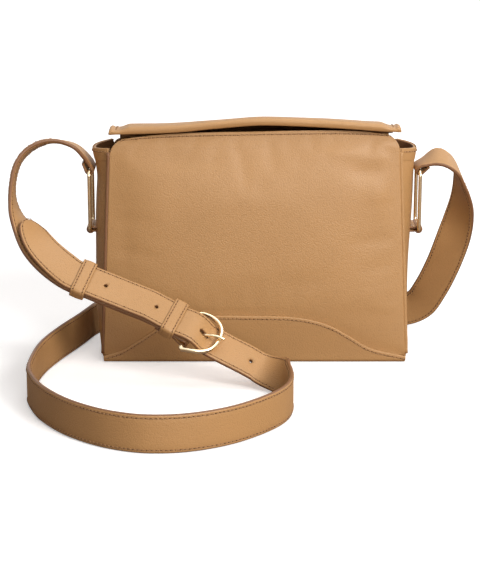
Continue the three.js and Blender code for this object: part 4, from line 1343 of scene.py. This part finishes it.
# ---- inside ----
def make_inside():
    floor = LEATHER + GAP + 2.4
    def ring(t, inset):
        rings = []
        for way in (1, -1):
            u = np.linspace(-way, way, 60)
            rim = FRONT_TOP - 5 - 12 * np.abs(u) ** 6 if way < 0 else np.full_like(u, RIM - 4)
            z = floor + inset + (rim - floor - inset) * t
            soft = 0.5 * np.sin(u * 9 + t * 5) * np.sin(math.pi * min(t, 0.98)) * (1 - u**4)
            wall = on_face(way, u, z, LEATHER + 3.4 + inset, half_width(z) - 3.2 - inset)
            sag = np.maximum(soft, 0)[:, None] * (1 if inset else 0.4)
            rings.append(wall - np.array([0, way, 0]) * sag)
        return np.concatenate(rings)
    rise = np.concatenate([[0, 0.01, 0.03], np.linspace(0.06, 1, 40)])
    rings = [ring(t, 0) for t in rise] + [ring(t, 0.9) for t in rise[::-1]]
    bag = loft("lining_cloth", rings, (LOOKS["lining"],))
    def layer(depth, thick, reach, low, high, name, look, nu, nv):
        u, v = np.meshgrid(np.linspace(-1, 1, nu), np.linspace(0, 1, nv))
        p = on_face(1, u * reach, low + (high - low) * v, depth + thick)
        side = 1 if normals(p)[..., 1].mean() < 0 else -1
        return turned_sheet(name, p, thick, side, (look,), roll=0.4)
    pocket = layer(LEATHER + 3.4 + 0.9 + 2 * GAP, 0.9, 0.5, 48, 128, "pocket_cloth", LOOKS["lining"], 50, 40)
    binding = layer(LEATHER + 3.4 + 1.8 + 4 * GAP, 0.9, 0.5, 120, 130, "pocket_edge", LOOKS["edge"], 50, 8)
    for o, node, look in ((bag, "lining", "lining"), (pocket, "slip_pocket", "lining"),
                          (binding, "pocket_binding", "edge_leather")):
        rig.ride(o, "bag")
        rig.replaces(o, node)
        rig.slot(o, look)
    for node, look in (("front_foam", "foam"), ("flap_foam", "foam"), ("back_board", "board"),
                       ("base_board", "board"),
                       ("body_magnet", "steel"), ("flap_magnet", "steel")):
        o = frame["nodes"][node]
        o.data.materials.clear()
        o.data.materials.append(LOOKS[look])


# ---- stage ----
def make_camera():
    data = bpy.data.cameras.new("camera")
    camera = bpy.data.objects.new("camera", data)
    bpy.context.scene.collection.objects.link(camera)
    camera.location = (-0.0115, -1.437, 0.440)
    camera.rotation_euler = (math.radians(74.7845), 0, 0)
    data.lens = 114.7
    data.clip_start = 0.01
    bpy.context.scene.camera = camera


def area_light(name, place, aim, size, power, colour=(1, 1, 1)):
    data = bpy.data.lights.new(name, "AREA")
    data.shape = "RECTANGLE"
    data.size, data.size_y = size
    data.energy = power
    data.color = colour
    o = bpy.data.objects.new(name, data)
    o.location = place
    o.rotation_euler = (Vector(aim) - Vector(place)).to_track_quat("-Z", "Y").to_euler()
    bpy.context.scene.collection.objects.link(o)


def make_stage():
    s = settings()
    m, n, shader, place = material("Floor", 0.0, 0.9)
    seen = n("ShaderNodeLightPath")
    mix = n("ShaderNodeMix", 2, settings={"data_type": "RGBA"}, i0=seen, i6=(0.3, 0.24, 0.2, 1),
            i7=(0.95, 0.95, 0.95, 1))
    n.tree.links.new(mix, shader["Base Color"])
    away = n("ShaderNodeVectorMath", 1, settings={"operation": "LENGTH"}, i0=place)
    glow = n("ShaderNodeMapRange", Value=away, i1=0.3, i2=1.5, i3=0.36, i4=1.0)
    n.tree.links.new(glow, shader["Emission Color"])
    n.tree.links.new(n("ShaderNodeMath", settings={"operation": "MULTIPLY"}, i0=seen, i1=1.0),
                     shader["Emission Strength"])
    shader["Specular IOR Level"].default_value = 0.0
    mesh = bpy.data.meshes.new("floor")
    size = 9.0
    mesh.from_pydata([(-size, -size, 0), (size, -size, 0), (size, size, 0), (-size, size, 0)], [],
                     [(0, 1, 2, 3)])
    mesh.materials.append(m)
    floor = bpy.data.objects.new("floor", mesh)
    bpy.context.scene.collection.objects.link(floor)
    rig.stage(floor)
    world = bpy.data.worlds.new("World")
    bpy.context.scene.world = world
    world.use_nodes = True
    n = Nodes(world.node_tree)
    bright = n("ShaderNodeMath", settings={"operation": "MAXIMUM"}, i0=n("ShaderNodeLightPath"),
               i1=n("ShaderNodeLightPath", 3))
    background = world.node_tree.nodes["Background"]
    n.tree.links.new(n("ShaderNodeMix", 0, i0=bright, i2=s.fill_light, i3=1.0), background.inputs["Strength"])
    tint = n("ShaderNodeMix", 2, settings={"data_type": "RGBA"}, i0=bright, i6=(1, 0.78, 0.66, 1),
             i7=(1, 1, 1, 1))
    n.tree.links.new(tint, background.inputs["Color"])
    area_light("key", (0.88, -1.22, 0.9), (0, 0, 0.1), (0.6, 0.6), s.key_light, (1, 0.985, 0.965))
    area_light("front", (0.2, -1.7, 0.6), (0, 0, 0.1), (1.0, 1.0), s.key_light * 0.4)
    area_light("top", (0.1, 0.1, 1.6), (0, 0, 0), (1.6, 1.6), s.top_light)
    area_light("rim", (1.3, 0.7, 0.9), (0, 0, 0.1), (0.6, 0.9), s.key_light * 0.25)
    view = bpy.context.scene.view_settings
    view.view_transform = "Standard"
    view.look = "None"
    view.exposure = 0.0


# ---- add-on parts ----
class SlingBagSettings(bpy.types.PropertyGroup):
    leather: bpy.props.FloatVectorProperty(
        name="Leather", description="Colour of the hide", subtype="COLOR", size=3, min=0, max=1,
        default=(0.475, 0.258, 0.101))
    edge: bpy.props.FloatVectorProperty(
        name="Edge", description="Colour of painted and turned edges", subtype="COLOR", size=3, min=0, max=1,
        default=(0.21, 0.093, 0.036))
    thread: bpy.props.FloatVectorProperty(
        name="Thread", description="Colour of the stitching", subtype="COLOR", size=3, min=0, max=1,
        default=(0.4, 0.215, 0.095))
    metal: bpy.props.FloatVectorProperty(
        name="Metal", description="Colour of the rings and buckle", subtype="COLOR", size=3, min=0, max=1,
        default=(0.93, 0.78, 0.52))
    grain: bpy.props.FloatProperty(
        name="Grain", description="Pebbles in the leather per metre", default=1000.0, min=100, max=4000)
    pitch: bpy.props.FloatProperty(
        name="Stitch pitch", description="Distance from one stitch to the next", default=0.0033,
        unit="LENGTH",
        min=0.001, max=0.02)
    puff: bpy.props.FloatProperty(
        name="Puff", description="How far the front and back swell out", default=0.006,
        unit="LENGTH", min=0, max=0.02)
    slump: bpy.props.FloatProperty(
        name="Slump", description="Depth of the soft waves in the sides", default=0.0006,
        unit="LENGTH", min=0, max=0.004)
    fill: bpy.props.FloatProperty(
        name="Fill pressure", description="Pressure behind the padded leather", default=3.0, min=0, max=20)
    key_light: bpy.props.FloatProperty(name="Key light", description="Power of the main lamp", default=22.0,
                                       unit="POWER")
    top_light: bpy.props.FloatProperty(name="Top light", description="Power of the lamp overhead",
                                       default=15.0, unit="POWER")
    fill_light: bpy.props.FloatProperty(name="Fill light", description="Strength of light from all round",
                                        default=0.11)


class SLINGBAG_OT_materials(bpy.types.Operator):
    """Makes the leather, cloth, thread and metal"""

    bl_idname = "slingbag.materials"
    bl_label = "Materials"

    def execute(self, context):
        build_materials()
        return {"FINISHED"}


class SLINGBAG_OT_camera(bpy.types.Operator):
    """Places the camera"""

    bl_idname = "slingbag.camera"
    bl_label = "Camera"

    def execute(self, context):
        make_camera()
        return {"FINISHED"}


class SLINGBAG_OT_straps(bpy.types.Operator):
    """Makes both straps with their stitches, buckle and keepers"""

    bl_idname = "slingbag.straps"
    bl_label = "Straps and buckle"

    def execute(self, context):
        make_buckle(*make_straps())
        return {"FINISHED"}


class SLINGBAG_OT_body(bpy.types.Operator):
    """Makes the front, back, base, sides and their stitches"""

    bl_idname = "slingbag.body"
    bl_label = "Body"

    def execute(self, context):
        make_panels()
        rows = make_base() + make_sides()
        x = np.linspace(-104, 104, 120)
        u = x / half_width(RIM)
        z = front_top(x) - 2.6
        rows.append(on_face(-1, u * half_width(RIM) / half_width(z), z, -0.02))
        sewn = stitches("body_stitches", rows)
        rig.ride(sewn, "bag")
        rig.slot(sewn, "leather")
        return {"FINISHED"}


class SLINGBAG_OT_rings(bpy.types.Operator):
    """Makes the rings and the tabs that hold them"""

    bl_idname = "slingbag.rings"
    bl_label = "Rings and tabs"

    def execute(self, context):
        make_tabs()
        return {"FINISHED"}


class SLINGBAG_OT_flap(bpy.types.Operator):
    """Makes the padded flap and its leather hinge"""

    bl_idname = "slingbag.flap"
    bl_label = "Flap"

    def execute(self, context):
        make_flap()
        make_hinge()
        return {"FINISHED"}


class SLINGBAG_OT_inside(bpy.types.Operator):
    """Makes the lining and slip pocket and finishes the hidden pieces"""

    bl_idname = "slingbag.inside"
    bl_label = "Inside"

    def execute(self, context):
        make_inside()
        return {"FINISHED"}


class SLINGBAG_OT_stage(bpy.types.Operator):
    """Makes the floor and the lights"""

    bl_idname = "slingbag.stage"
    bl_label = "Stage"

    def execute(self, context):
        make_stage()
        return {"FINISHED"}


OPERATORS = (SLINGBAG_OT_camera, SLINGBAG_OT_materials, SLINGBAG_OT_straps, SLINGBAG_OT_body,
             SLINGBAG_OT_rings,
             SLINGBAG_OT_flap, SLINGBAG_OT_inside, SLINGBAG_OT_stage)


class SLINGBAG_PT_panel(bpy.types.Panel):
    bl_label = "Sling bag"
    bl_idname = "SLINGBAG_PT_panel"
    bl_space_type = "VIEW_3D"
    bl_region_type = "UI"
    bl_category = "Sling bag"

    def draw(self, context):
        for name in SlingBagSettings.__annotations__:
            self.layout.prop(context.scene.sling_bag, name)
        for operator in OPERATORS:
            self.layout.operator(operator.bl_idname)


CLASSES = (SlingBagSettings, *OPERATORS, SLINGBAG_PT_panel)


def register():
    for c in CLASSES:
        bpy.utils.register_class(c)
    bpy.types.Scene.sling_bag = bpy.props.PointerProperty(type=SlingBagSettings)


def unregister():
    del bpy.types.Scene.sling_bag
    for c in reversed(CLASSES):
        bpy.utils.unregister_class(c)


def main():
    register()
    for operator in OPERATORS:
        group, name = operator.bl_idname.split(".")
        getattr(getattr(bpy.ops, group), name)()
    low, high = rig.bounds()
    with open("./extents.json", "w") as f:
        json.dump({"cad": [list(CAD_LOW), list(CAD_HIGH)], "visual": [list(low), list(high)]}, f)


if __name__ == "__main__":
    main()
